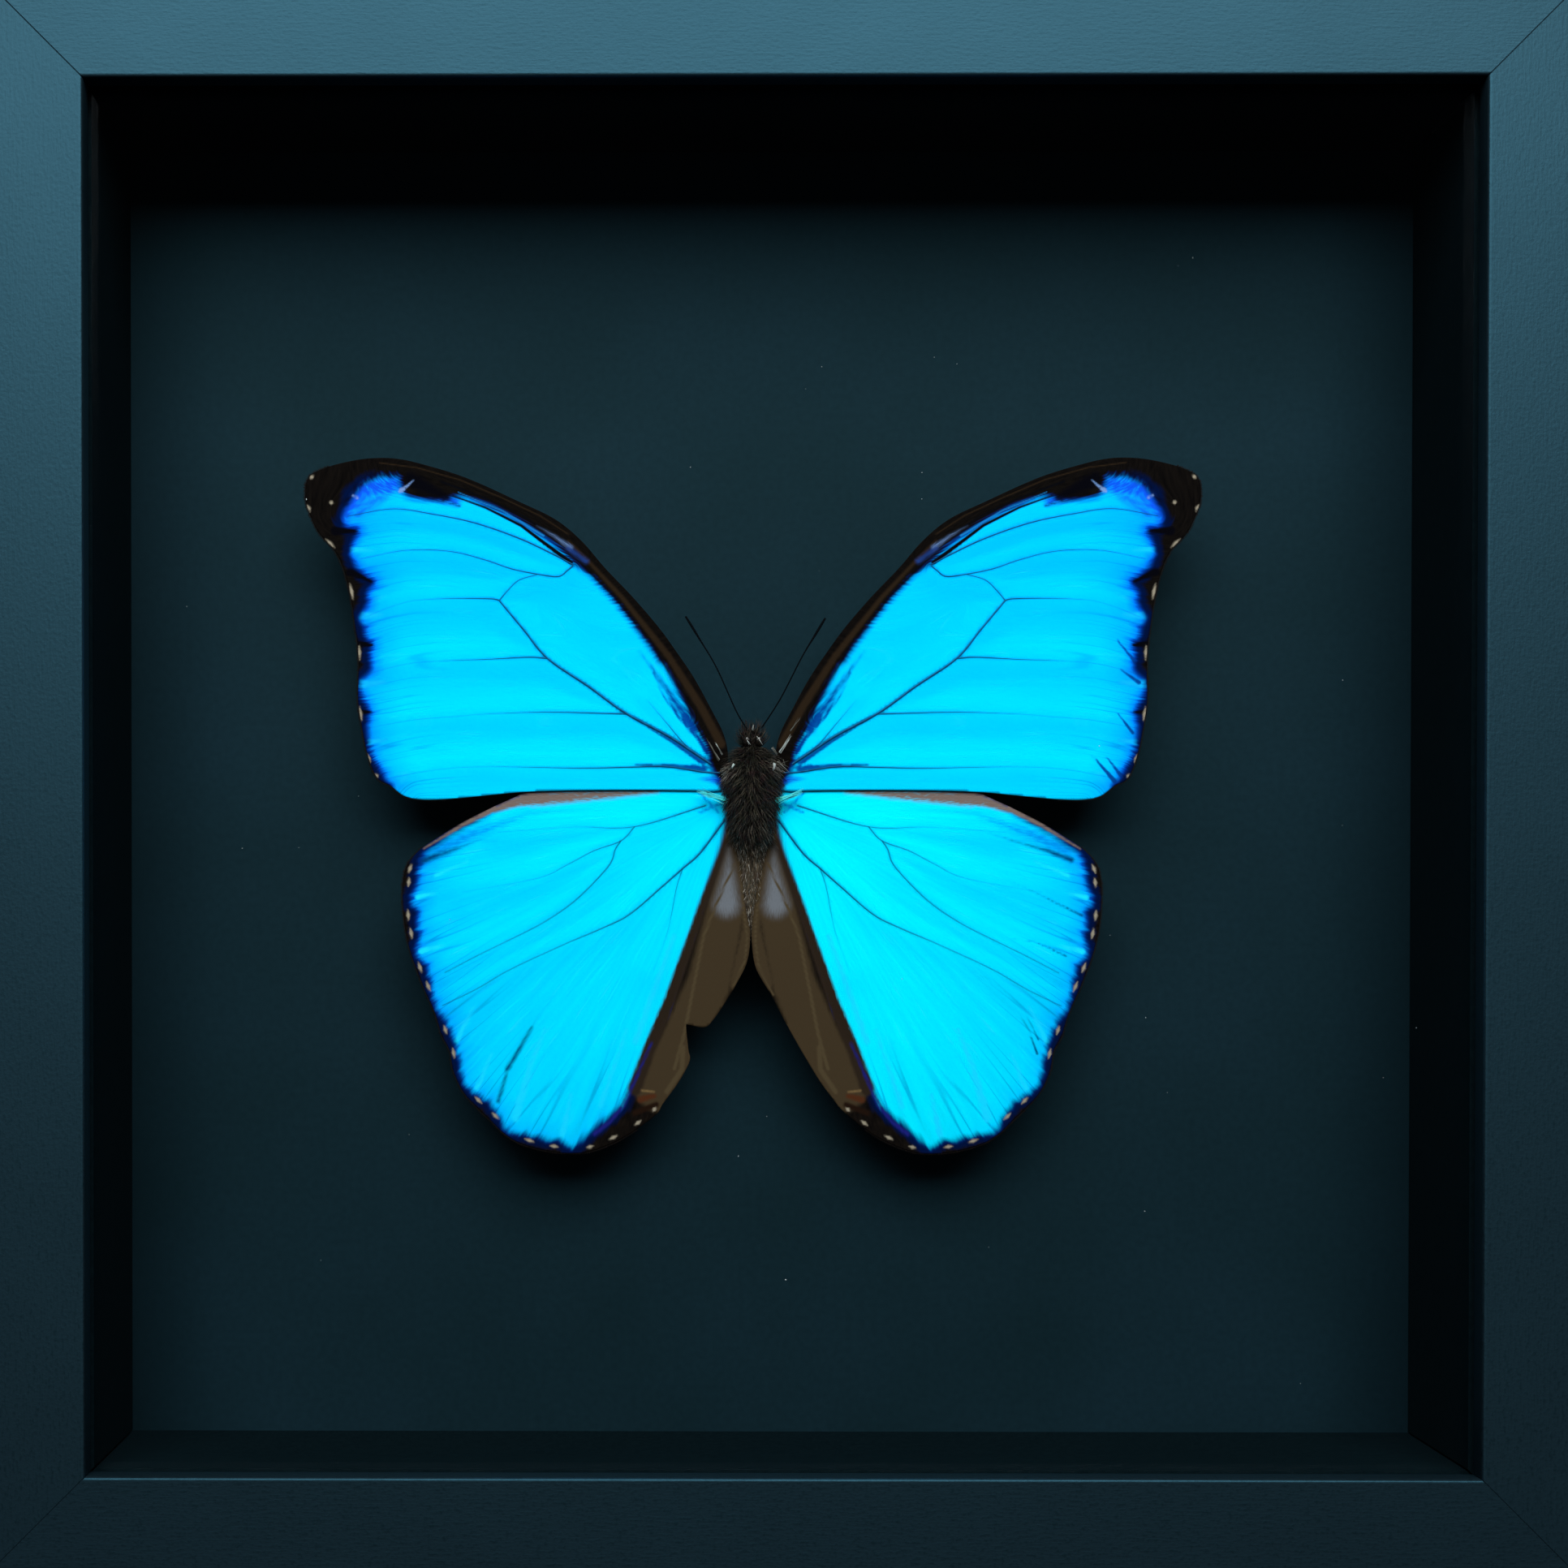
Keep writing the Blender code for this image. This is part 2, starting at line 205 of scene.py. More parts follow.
def rail_section():
    """Out from the opening and back from the front face, with close loops that keep the flats flat."""
    hold = 0.06
    return np.array(
        [(0, SIGHT_ROUND + hold)]
        + corner((SIGHT_ROUND, SIGHT_ROUND), SIGHT_ROUND, 180, 270)
        + [(SIGHT_ROUND + hold, 0), (FACE_WIDTH - OUTER_ROUND - hold, 0)]
        + corner((FACE_WIDTH - OUTER_ROUND, OUTER_ROUND), OUTER_ROUND, 270, 360)
        + [(FACE_WIDTH, OUTER_ROUND + hold), (FACE_WIDTH, RAIL_DEPTH - 0.3)]
        + [(FACE_WIDTH - 0.3, RAIL_DEPTH), (REBATE + 0.2, RAIL_DEPTH), (REBATE, RAIL_DEPTH - 0.2)]
        + [(REBATE, LIP), (0.15, LIP), (0, LIP - 0.15)]
    )


def store(ob, name, values, kind="FLOAT"):
    """Keeps a number or a direction at each point of a mesh, for its material or its node tree."""
    member = "value" if kind == "FLOAT" else "vector"
    ob.data.attributes.new(name, kind, "POINT").data.foreach_set(
        member, np.asarray(values, np.float32).ravel()
    )


def shrink(section, amount):
    """Moves every point of a closed section inwards by about the same amount."""
    along = np.roll(section, -1, axis=0) - np.roll(section, 1, axis=0)
    inwards = np.c_[-along[:, 1], along[:, 0]]
    return section + amount * inwards / np.linalg.norm(inwards, axis=1)[:, None]


def turned(points, side):
    """Turns a part of the bottom side, in millimetres, to another side and puts it in the frame."""
    angle = math.radians(SIDE_TURNS[side])
    x, y, z = np.array(points).T
    across = x * math.cos(angle) + z * math.sin(angle)
    up = -x * math.sin(angle) + z * math.cos(angle)
    return np.c_[across, y, up] * MM + np.array(MIDDLE)


# Satin black spray lacquer on wood: nearly all its light is a soft reflection, so a rail's face pales
# towards the lamp. The grain is 0.35 mm across and is stretched along the rail.
lacquer, tree = start_material("satin_black_lacquer")
grain = add_node(tree, "ShaderNodeAttribute", attribute_name="grain_mm")["Vector"]
stretched = add_node(tree, "ShaderNodeMapping", {"Vector": grain, "Scale": (0.45, 2.4, 2.4)})[0]
fibre = add_node(tree, "ShaderNodeTexNoise", {"Vector": stretched, "Scale": 1.0, "Detail": 3.0})["Fac"]
stipple = add_node(tree, "ShaderNodeTexNoise", {"Vector": grain, "Scale": 1.6, "Detail": 2.0})["Fac"]
cloud = add_node(tree, "ShaderNodeTexNoise", {"Vector": grain, "Scale": 0.05, "Detail": 2.0})["Fac"]
relief = add_node(tree, "ShaderNodeMath", {0: fibre, 1: stipple}, operation="ADD")[0]
bump = add_node(tree, "ShaderNodeBump", {"Height": relief, "Strength": 0.45, "Distance": 0.00006})[0]
rough = add_node(tree, "ShaderNodeMapRange", {"Value": cloud, "To Min": 0.43, "To Max": 0.49})[0]
shade = add_node(
    tree, "ShaderNodeValToRGB", {"Fac": relief},
    stops=[(0.7, "#070D10"), (1.0, "#0D161B")],
)["Color"]
add_surface(tree, {
    "Base Color": shade, "Roughness": rough, "IOR": 1.54, "Specular Tint": (0.2, 0.7, 1.0, 1),
    "Normal": bump,
})

section = rail_section()
count = len(section)
for order, side in enumerate(SIDE_TURNS):
    rings, grains = [], []
    for end, drop in ((-1, 0), (-1, MITRE_BEVEL), (1, MITRE_BEVEL), (1, 0)):
        ring = section if drop else shrink(section, MITRE_BEVEL)
        reach = end * (OPENING / 2 + ring[:, 0] - (MITRE_GAP + drop) * math.sqrt(2))
        rings.append(np.c_[reach, ring[:, 1], -OPENING / 2 - ring[:, 0]])
        grains.append(np.c_[reach + 300 * order, ring[:, 0] + 40 * order, ring[:, 1]])
    faces = [tuple(range(count)), tuple(reversed(range(3 * count, 4 * count)))]
    for ring in range(3):
        for i in range(count):
            j = (i + 1) % count
            near, far = ring * count, (ring + 1) * count
            faces.append((near + i, far + i, far + j, near + j))
    rail = add_object("rail_finish_" + side, turned(np.vstack(rings), side), faces, [lacquer])
    rail.data.set_sharp_from_angle(angle=math.radians(32))
    store(rail, "grain_mm", np.vstack(grains), "FLOAT_VECTOR")
    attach(rail, "root")
    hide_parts("rail_" + side)


# ---- Glass pane ----
# One square sheet of picture glass behind the lip of the rails. It is coated against reflections, so
# it hardly shows. Lamps shine straight through it.

def give_finish(names, material):
    """Gives a finish to pieces that keep the shape they have in the frame."""
    for name in names:
        for material_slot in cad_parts[name].material_slots:
            material_slot.material = material


# Float glass with a thin anti-reflection coat: clear, and nearly without gloss, so its IOR is set low
glass, tree = start_material("coated_picture_glass")
add_surface(tree, {
    "Base Color": "#FBFEFD", "Roughness": 0.0, "IOR": 1.15, "Transmission Weight": 1.0,
})
give_finish(["glass_pane"], glass)
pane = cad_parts["glass_pane"]
pane.visible_shadow = False
pane.visible_diffuse = False
pane.visible_glossy = False
unlit = bpy.data.collections.new("not_lit_by_softbox")
unlit.objects.link(pane)
unlit.collection_objects[0].light_linking.link_state = "EXCLUDE"
softbox.light_linking.receiver_collection = unlit


# ---- Spacers ----
# Four strips of black-cored mount board that line the inside of the box and hold the glass away from
# the card. They are cut with a knife and glued to the rails.

# Black mount board: a dead matt paper face that swallows nearly all the light
spacer_board, tree = start_material("black_mount_board")
place = add_node(tree, "ShaderNodeTexCoord")["Object"]
fibre = add_node(tree, "ShaderNodeTexNoise", {"Vector": place, "Scale": 1400.0, "Detail": 3.0})["Fac"]
shade = add_node(
    tree, "ShaderNodeValToRGB", {"Fac": fibre},
    stops=[(0.3, "#050F13"), (0.7, "#091519")],
)["Color"]
bump = add_node(tree, "ShaderNodeBump", {"Height": fibre, "Strength": 0.2, "Distance": 0.00008})[0]
add_surface(tree, {
    "Base Color": shade, "Roughness": 0.9, "Specular IOR Level": 0.0, "Normal": bump,
})
give_finish(["spacer_" + side for side in SIDE_TURNS], spacer_board)


# ---- Backing card ----
# The sheet of blue-black card behind the butterfly, held in the rebate between the spacers and the
# back board.

# Uncoated art card: matt, with soft clouds in the pulp and a fine tooth that catches a little light
art_card, tree = start_material("blue_black_art_card")
place = add_node(tree, "ShaderNodeTexCoord")["Object"]
pulp = add_node(tree, "ShaderNodeTexNoise", {"Vector": place, "Scale": 28.0, "Detail": 3.0})["Fac"]
tooth = add_node(tree, "ShaderNodeTexNoise", {"Vector": place, "Scale": 900.0, "Detail": 2.0})["Fac"]
shade = add_node(
    tree, "ShaderNodeValToRGB", {"Fac": pulp},
    stops=[(0.3, "#0A1A20"), (0.7, "#0D1E26")],
)["Color"]
worn = add_node(
    tree, "ShaderNodeMapRange",
    {"Value": tooth, "From Min": 0.3, "From Max": 0.7, "To Min": 0.9, "To Max": 1.1},
)[0]
shade = add_node(tree, "ShaderNodeHueSaturation", {"Value": worn, "Color": shade})[0]
# Painted shade: its margins, beside the spacers, darken over the last centimetre, where the walls hold back
# part of the light
across = add_node(tree, "ShaderNodeSeparateXYZ", {0: place})["X"]
across = add_node(tree, "ShaderNodeMath", {0: across}, operation="ABSOLUTE")[0]
margin = add_node(
    tree, "ShaderNodeMapRange",
    {"Value": across, "From Min": 98 * MM, "From Max": 112 * MM, "To Min": 1.0, "To Max": 0.68},
)[0]
shade = add_node(tree, "ShaderNodeHueSaturation", {"Value": margin, "Color": shade})[0]
bump = add_node(tree, "ShaderNodeBump", {"Height": tooth, "Strength": 0.15, "Distance": 0.0001})[0]
add_surface(tree, {
    "Base Color": shade, "Roughness": 0.6, "Specular IOR Level": 0.1,
    "Specular Tint": (0.3, 0.8, 1.0, 1), "Normal": bump,
})
give_finish(["backing_card"], art_card)


# ---- Back board ----
# A sheet of 3 mm hardboard, steamed wood fibre pressed smooth on this side. It lies against the card
# and closes the frame.

# Hardboard: short brown fibres about 0.5 mm wide lie in all directions under a slight shine
hardboard, tree = start_material("pressed_hardboard")
place = add_node(tree, "ShaderNodeTexCoord")["Object"]
mottle = add_node(tree, "ShaderNodeTexNoise", {"Vector": place, "Scale": 60.0, "Detail": 5.0})["Fac"]
flecks = add_node(
    tree, "ShaderNodeTexNoise", {"Vector": place, "Scale": 700.0, "Detail": 4.0, "Distortion": 1.5},
)["Fac"]
blend = add_node(tree, "ShaderNodeMath", {0: mottle, 1: flecks}, operation="ADD")[0]
blend = add_node(tree, "ShaderNodeMapRange", {"Value": blend, "From Min": 0.6, "From Max": 1.4})[0]
shade = add_node(
    tree, "ShaderNodeValToRGB", {"Fac": blend},
    stops=[(0.0, "#4A2E1A"), (0.45, "#6E4A2C"), (1.0, "#8F6A45")],
)["Color"]
bump = add_node(tree, "ShaderNodeBump", {"Height": flecks, "Strength": 0.25, "Distance": 0.0001})[0]
add_surface(tree, {"Base Color": shade, "Roughness": 0.55, "Normal": bump})
give_finish(["back_board"], hardboard)


# ---- Tabs, hanger and nails ----
# Eight flexible steel tabs are shot into the rails and bent over the board. A sawtooth hanger is
# nailed to the top rail with two round-headed nails. All are zinc plated.

# Bright zinc plate on steel: a cool grey metal with faint crystal clouds about 2 mm across
zinc, tree = start_material("bright_zinc_plate")
place = add_node(tree, "ShaderNodeTexCoord")["Object"]
crystal = add_node(tree, "ShaderNodeTexVoronoi", {"Vector": place, "Scale": 450.0})["Color"]
drawn = add_node(tree, "ShaderNodeMapping", {"Vector": place, "Scale": (300, 300, 4000)})[0]
scratch = add_node(tree, "ShaderNodeTexNoise", {"Vector": drawn, "Scale": 1.0, "Detail": 2.0})["Fac"]
tone = add_node(tree, "ShaderNodeSeparateColor", {"Color": crystal})[0]
shade = add_node(
    tree, "ShaderNodeValToRGB", {"Fac": tone},
    stops=[(0.0, "#9AA0A4"), (1.0, "#C3C8CA")],
)["Color"]
rough = add_node(tree, "ShaderNodeMapRange", {"Value": scratch, "To Min": 0.22, "To Max": 0.45})[0]
add_surface(tree, {"Base Color": shade, "Metallic": 1.0, "Roughness": rough})
give_finish([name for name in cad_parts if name.startswith(("tab_", "hanger_", "sawtooth_"))], zinc)


# ---- Foam block ----
# A small block of black foam glued to the card. The butterfly's thorax is glued to its front, which
# holds the wings clear of the card.

# Closed-cell polyethylene foam: cut cells about 0.4 mm across, black and dull
foam, tree = start_material("black_closed_cell_foam")
place = add_node(tree, "ShaderNodeTexCoord")["Object"]
cell = add_node(tree, "ShaderNodeTexVoronoi", {"Vector": place, "Scale": 2500.0})["Distance"]
shade = add_node(
    tree, "ShaderNodeValToRGB", {"Fac": cell},
    stops=[(0.1, "#050607"), (0.6, "#15181A")],
)["Color"]
bump = add_node(tree, "ShaderNodeBump", {"Height": cell, "Strength": 0.6, "Distance": 0.0002})[0]
add_surface(tree, {"Base Color": shade, "Roughness": 0.85, "Normal": bump})
give_finish(["mounting_block"], foam)


# ---- Forewings ----
# The front pair of wings: a clear membrane stiffened by veins and covered with overlapping scales,
# shining blue over most of the wing, black-brown at the border, and brown along the front edge.

body_low, body_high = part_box("body")
THORAX = Vector((
    (body_low.x + body_high.x) / 2, (body_low.y + body_high.y) / 2, body_high.z - 7.4 * MM,
))
WING_THICK = 0.2
ROOT_INSET = 0.8
TIP_RISE, WING_REACH = 2.0, 76.5
VEIN_SAG, SAG_REACH, RIPPLE = 0.16, 3.0, 0.06
COARSE, FINE, FINE_BAND = 0.46, 0.24, 4.5
SPOT_WIDTHS, SPOT_EDGE = (0.55, 0.05), 0.3
FOREWING_LIFT, HINDWING_LIFT = 0.25, -0.25

FOREWING_EDGE = [
    (4.8, 2.5), (5.6, 6.3), (7.7, 10.5), (10.6, 15.8), (13.7, 20.4), (16.7, 24.5), (21.1, 29.6),
    (25.7, 34.4), (29.8, 39.1), (34.2, 42.7), (40.2, 45.6), (49.2, 49.6), (56.7, 51.9), (61.0, 52.8),
    (64.6, 52.9), (68.1, 52.5), (72.5, 51.4), (75.4, 50.0), (76.4, 48.2), (76.4, 45.4), (75.9, 43.8),
    (74.7, 41.0), (73.4, 39.2), (71.6, 37.3), (70.3, 34.8), (69.3, 31.5), (68.5, 27.5), (68.0, 23.8),
    (67.6, 20.6), (67.5, 16.4), (67.6, 11.8), (66.9, 7.1), (66.0, 2.7), (64.4, -1.2), (62.1, -2.6),
    (59.8, -4.3), (56.8, -4.9), (52.7, -4.8), (47.2, -4.3), (40.0, -3.6), (31.7, -3.3), (20.7, -3.2),
    (11.0, -3.3), (6.9, -3.4), (4.9, -2.4),
]
# Where the blue scales start: along the front edge first, then down the outer border with its notches
FORE_BLUE_FRONT = [
    (6.9, -0.3), (7.7, 1.2), (8.6, 4.5), (10.3, 7.8), (12.1, 11.7), (14.2, 15.6), (16.7, 19.4),
    (19.6, 23.4), (24.2, 29.1), (27.8, 32.9), (31.2, 35.5), (34.2, 38.4), (37.3, 40.6), (40.2, 42.5),
    (43.5, 44.1), (46.2, 45.4), (49.0, 46.4), (51.1, 46.6), (53.6, 46.0), (56.6, 46.1), (59.4, 46.8),
    (60.3, 48.6), (60.9, 50.0), (64.5, 49.9), (67.2, 48.5), (68.9, 46.7),
]
FORE_BLUE_OUTER = [
    (69.6, 44.8), (70.4, 42.3), (69.6, 40.8), (67.8, 40.5), (68.6, 38.7), (69.0, 36.8), (68.3, 35.0),
    (66.8, 33.2), (65.1, 32.0), (66.1, 30.4), (66.3, 28.1), (67.4, 25.9), (66.9, 24.1), (66.2, 22.2),
    (65.3, 21.3), (65.8, 19.7), (65.6, 17.1), (67.5, 15.0), (67.5, 13.3), (66.7, 11.5), (65.8, 9.9),
    (66.2, 8.2), (66.1, 6.2), (65.8, 3.1), (64.7, 1.5), (64.0, -0.2), (62.8, -1.7), (62.1, -2.5),
]
PAST_HIND_EDGE = [(61.5, -5.0), (57.0, -8.0), (30.0, -7.0), (5.6, -7.0), (5.6, -3.0)]

# Veins: points from the border to the root, the width at each end, and the share that stays faint
FORE_VEINS = {
    "upper_branch": ([(69.3, 43.0), (61.8, 44.3), (55.2, 43.5), (47.8, 42.0), (40.2, 39.4), (34.2, 36.6),
                      (31.2, 35.0)], 0.10, 0.30, 0.0),
    "second_branch": ([(67.2, 35.8), (59.6, 37.3), (52.2, 37.2), (46.2, 35.8), (41.7, 34.3), (37.3, 33.4),
                       (33.7, 33.0), (32.2, 34.0), (31.2, 34.8)], 0.06, 0.24, 0.1),
    "cell_end": ([(37.3, 33.3), (40.3, 32.4), (42.1, 30.8), (43.7, 28.9)], 0.12, 0.20, 0.0),
    "third_branch": ([(66.5, 25.9), (62.4, 27.6), (58.2, 28.8), (52.2, 29.2), (45.3, 29.2), (43.7, 28.9)],
                     0.03, 0.24, 0.42),
    "cubital": ([(43.7, 28.9), (39.6, 24.0), (35.5, 19.1), (28.6, 14.4), (22.3, 9.9), (15.2, 6.1),
                 (11.3, 3.6), (7.7, 1.2)], 0.28, 0.55, 0.0),
    "fourth_branch": ([(66.6, 16.2), (59.7, 18.0), (53.7, 18.6), (46.2, 18.9), (38.8, 19.3), (35.5, 19.1)],
                      0.03, 0.26, 0.4),
    "fifth_branch": ([(65.9, 7.2), (58.0, 8.6), (50.9, 9.2), (46.6, 9.6), (36.1, 10.0), (25.4, 9.8),
                      (22.3, 9.7)], 0.03, 0.24, 0.42),
    "anal": ([(62.8, -1.4), (54.0, 0.2), (45.1, 0.7), (30.1, 0.5), (21.1, 0.7), (15.2, 0.8), (9.1, -0.1),
              (6.2, -0.3)], 0.03, 0.36, 0.3),
    "cell_fold": ([(18.5, 12.0), (15.2, 8.1), (12.1, 4.5), (9.0, 2.0)], 0.03, 0.26, 0.0),
}
RADIAL_FRONT = [(60.0, 50.9), (50.0, 47.4), (40.2, 43.5), (34.3, 40.4), (29.6, 36.6), (24.2, 31.0),
                (18.0, 24.0), (12.2, 15.0), (8.2, 8.0), (6.2, 3.0)]

# Cream spots on the border: the middle and the length of each
FORE_SPOTS = [
    ((75.4, 49.6), 0.8), ((75.9, 44.3), 1.2), ((72.3, 38.4), 2.0), ((68.7, 30.3), 2.6), ((67.4, 20.0), 2.6),
    ((67.2, 9.6), 2.6), ((65.8, 2.0), 1.4), ((64.5, -0.9), 0.8), ((72.1, 45.3), 0.3),
]

# Painted scales, and painted highlights and shade laid on the same way: colour, whether they lie only in
# the blue field, how ragged their edge is, and their strokes. A stroke is a line, its width (or the widths
# at its two ends) and its soft edge, and then -1 or 1 if only the left or the right wing has it. A width
# below zero makes that end fainter.
FORE_PAINT = {
    "royal": ("#0A4ACA", True, 1.2, [
        ([(70.5, 43.0), (66.5, 47.6), (61.5, 48.5)], 2.4, 5.6),
        ([(68.0, 43.4), (63.4, 46.6)], 0.6, 5.6),
        ([(58.5, 47.2), (51.0, 45.6)], 1.0, 3.2),
        ([(10.2, -1.3), (7.6, -1.4), (6.2, -1.6)], (-0.8, 1.4), 2.4),
        ([(48.5, 46.2), (42.0, 43.4), (33.6, 38.0)], 0.2, 1.2),
    ]),
    # The sky strokes are painted highlights: pale blue glints at the outer border, between the dark
    # notches, and one by the root
    "sky": ("#0CACFA", True, 1.2, [
        ([(67.3, 26.2), (63.6, 26.4)], (1.2, 0.2), 1.4), ([(67.4, 14.6), (63.0, 15.0)], (1.4, 0.2), 1.4),
        ([(66.0, 4.8), (62.8, 5.2)], (1.0, 0.2), 1.2), ([(68.8, 37.4), (65.0, 37.2)], (0.8, 0.1), 1.2),
        ([(8.4, 1.9), (7.2, 0.7)], 0.6, 0.8),
    ]),
    "deep": ("#02408C", True, 0.8, [
        ([(20.0, 20.4), (16.6, 16.0), (13.7, 11.6), (10.7, 7.2)], (-0.4, 1.5), 2.0),
        ([(20.5, 1.1), (14.5, 0.9), (9.0, 0.3)], (0.2, 1.0), 0.9),
        ([(17.6, 16.6), (15.6, 12.6), (13.2, 9.2), (9.9, 5.6), (8.4, 3.2)], (0.1, 0.7), 0.8),
        ([(11.0, 1.0), (7.4, 0.4)], 0.3, 0.7),
        ([(21.0, 9.2), (14.0, 5.0), (9.0, 1.6)], (0.3, 1.2), 0.8),
        ([(62.6, 22.1), (65.7, 18.2)], (0.1, 0.6), 0.6, 1),
        ([(63.0, 17.2), (66.2, 14.9)], (0.1, 0.7), 0.6, 1),
        ([(58.4, 2.6), (62.2, -1.8)], (0.1, 0.8), 0.6, 1),
        ([(60.8, 2.4), (63.2, -0.8)], (0.1, 0.6), 0.6, 1),
        ([(62.6, 9.8), (65.2, 6.4)], (0.1, 0.5), 0.6, 1),
    ]),
    "costa": ("#241B12", False, 0.5, [
        ([(6.0, 4.6), (9.6, 11.2), (15.0, 19.6), (22.8, 29.4), (28.4, 35.4), (32.0, 39.0)],
         (1.3, 0.3), 1.1),
        ([(32.0, 40.2), (36.8, 43.3), (43.0, 46.2), (50.4, 49.3), (57.6, 51.3), (64.0, 52.1)], 0.16, 0.4),
    ]),
    "soot": ("#05050A", False, 1.0, [
        ([(69.6, 45.2), (67.4, 48.3), (64.5, 50.0), (60.9, 50.2)], 0.2, 3.0),
        ([(58.6, 49.3), (56.0, 47.9), (52.6, 46.3)], (2.4, 0.9), 2.2),
        ([(57.5, 46.8), (50.4, 44.9)], 0.2, 1.2),
        ([(71.5, 40.5), (67.9, 40.5)], (1.4, 0.4), 0.9), ([(69.0, 33.6), (65.4, 32.0)], (1.2, 0.3), 0.9),
        ([(67.6, 21.4), (65.3, 21.3)], (1.2, 0.3), 0.8), ([(67.6, 9.9), (65.4, 9.9)], (1.0, 0.2), 0.8),
    ]),
    "line": ("#06070C", False, 0.0, [
        ([(51.6, 46.6), (46.0, 44.6), (40.0, 41.6), (36.0, 38.6), (31.6, 35.4)], (0.25, 0.7), 0.5),
        ([(53.6, 49.0), (46.0, 46.2), (40.0, 43.4), (36.0, 41.0)], 0.25, 0.5),
        ([(29.6, 35.0), (24.2, 29.7), (18.2, 22.2), (12.6, 13.4), (9.0, 5.4)], 0.3, 0.8),
    ]),
    "thread": ("#1468A8", False, 0.0, [
        ([(50.7, 47.2), (43.0, 44.0), (36.2, 39.9)], (0.1, 0.3), 0.4),
    ]),
    # Painted highlights: soft white-blue patches by the front edge and near the tip
    "pale_highlight": ("#6482B4", False, 1.4, [
        ([(37.4, 41.6), (34.4, 39.9), (31.6, 37.9)], (-0.8, 0.2), 2.0),
        ([(68.4, 46.5), (67.6, 46.1)], 0.2, 0.9),
        ([(60.4, 47.4), (59.3, 48.2), (58.2, 49.2)], (0.6, 0.0), 0.6),
    ]),
    "violet": ("#1A3470", False, 1.4, [([(32.0, 37.8), (29.0, 35.6)], 0.4, 2.0)]),
}


def smooth_line(points, step, closed=False):
    """Points about `step` millimetres apart on a smooth curve through the given ones."""
    p = np.array(points, float)
    p = np.vstack([p[-1:], p, p[:2]]) if closed else np.vstack([2 * p[0] - p[1], p, 2 * p[-1] - p[-2]])
    t = np.linspace(0, 1, 12, endpoint=False)[:, None]
    spans = [
        0.5 * (2 * b + (c - a) * t + (2 * a - 5 * b + 4 * c - d) * t**2 + (3 * b - 3 * c + d - a) * t**3)
        for a, b, c, d in zip(p[:-3], p[1:-2], p[2:-1], p[3:])
    ]
    line = np.vstack(spans + [p[-2:-1]])
    run = np.r_[0, np.cumsum(np.linalg.norm(np.diff(line[:, :2], axis=0), axis=1))]
    at = np.linspace(0, run[-1], max(2, round(run[-1] / step) + 1))
    line = np.column_stack([np.interp(at, run, column) for column in line.T])
    return line[:-1] if closed else line


def nearest_on(points, line, closed=False):
    """How far each point lies from a line, and how far along the line it is met, from 0 to 1."""
    line = np.array(line, float)
    if closed:
        line = np.vstack([line, line[:1]])
    run = np.r_[0, np.cumsum(np.linalg.norm(np.diff(line, axis=0), axis=1))]
    best, share = np.full(len(points), 1e9), np.zeros(len(points))
    for i, (a, b) in enumerate(zip(line[:-1], line[1:])):
        t = np.clip((points - a) @ (b - a) / max((b - a) @ (b - a), 1e-9), 0, 1)
        away = np.linalg.norm(points - a - t[:, None] * (b - a), axis=1)
        nearer = away < best
        best[nearer] = away[nearer]
        share[nearer] = (run[i] + t[nearer] * (run[i + 1] - run[i])) / run[-1]
    return best, share


def distance_to(points, line, closed=False):
    return nearest_on(points, line, closed)[0]


def inside(points, loop):
    x, y = points.T
    found = np.zeros(len(points), bool)
    for (ax, ay), (bx, by) in zip(loop, np.roll(loop, -1, axis=0)):
        if ay != by:
            found ^= ((ay > y) != (by > y)) & (x < (bx - ax) * (y - ay) / (by - ay) + ax)
    return found


def signed_distance(points, loop):
    """Distance from a closed line, counted as positive inside it."""
    away = distance_to(points, loop, closed=True)
    return np.where(inside(points, np.array(loop)), away, -away)


def brush(points, strokes, side=0):
    """How strongly soft strokes cover each point. A stroke may name the one side that it is meant for."""
    cover = np.zeros(len(points))
    for line, widths, soft, *only in strokes:
        if side in only or not only:
            away, share = nearest_on(points, line)
            start, end = np.broadcast_to(widths, 2)
            t = np.clip(((start + (end - start) * share) / 2 + soft / 2 - away) / soft, 0, 1)
            cover = np.maximum(cover, t * t * (3 - 2 * t))
    return cover


def spot_strokes(spots, loop):
    """Turns each spot into a spindle that runs along the nearest stretch of the margin."""
    strokes = []
    for middle, length in spots:
        spot = np.array(middle)
        near = np.argmin(np.linalg.norm(loop - spot, axis=1))
        way = loop[(near + 2) % len(loop)] - loop[near - 2]
        way *= length / 2 / np.linalg.norm(way)
        for end in (spot - way, spot + way):
            strokes.append(([spot, end], SPOT_WIDTHS, SPOT_EDGE))
    return strokes


def vein_width(share, thin, wide, faint):
    return thin + (wide - thin) * np.clip((share - faint) / (1 - faint), 0, 1)


def vein_cover(points, veins):
    """How dark each vein shows through the scales. It fades as it thins."""
    cover = np.zeros(len(points))
    for line, *taper in veins.values():
        away, share = nearest_on(points, smooth_line(line, 1.0))
        width = vein_width(share, *taper)
        near = np.clip((0.4 * width + 0.3 - away) / 0.3, 0, 1)
        cover = np.maximum(cover, near * np.clip(2.6 * width, 0, 1))
    return cover


def wing_rise(points, veins, lift):
    """How far the wing's face stands towards the glass: it arches up, and sags a little between veins."""
    u, v = points.T
    to_vein = np.min([distance_to(points, line) for line, *taper in veins.values()], axis=0)
    sag = VEIN_SAG * (1 - np.exp(-((to_vein / SAG_REACH) ** 2)))
    ripple = RIPPLE * np.sin(u / 8.0 + 1.3) * np.sin(v / 6.5 + 0.4)
    return lift + TIP_RISE * (u / WING_REACH) ** 2 - sag * np.clip(u / 20, 0, 1) + ripple


def wing_place(points, rise, side):
    """Millimetres out, up and towards the glass from the thorax, as a place in the frame."""
    u, v = points.T
    return np.c_[side * (u - ROOT_INSET), -rise, v] * MM + np.array(THORAX)


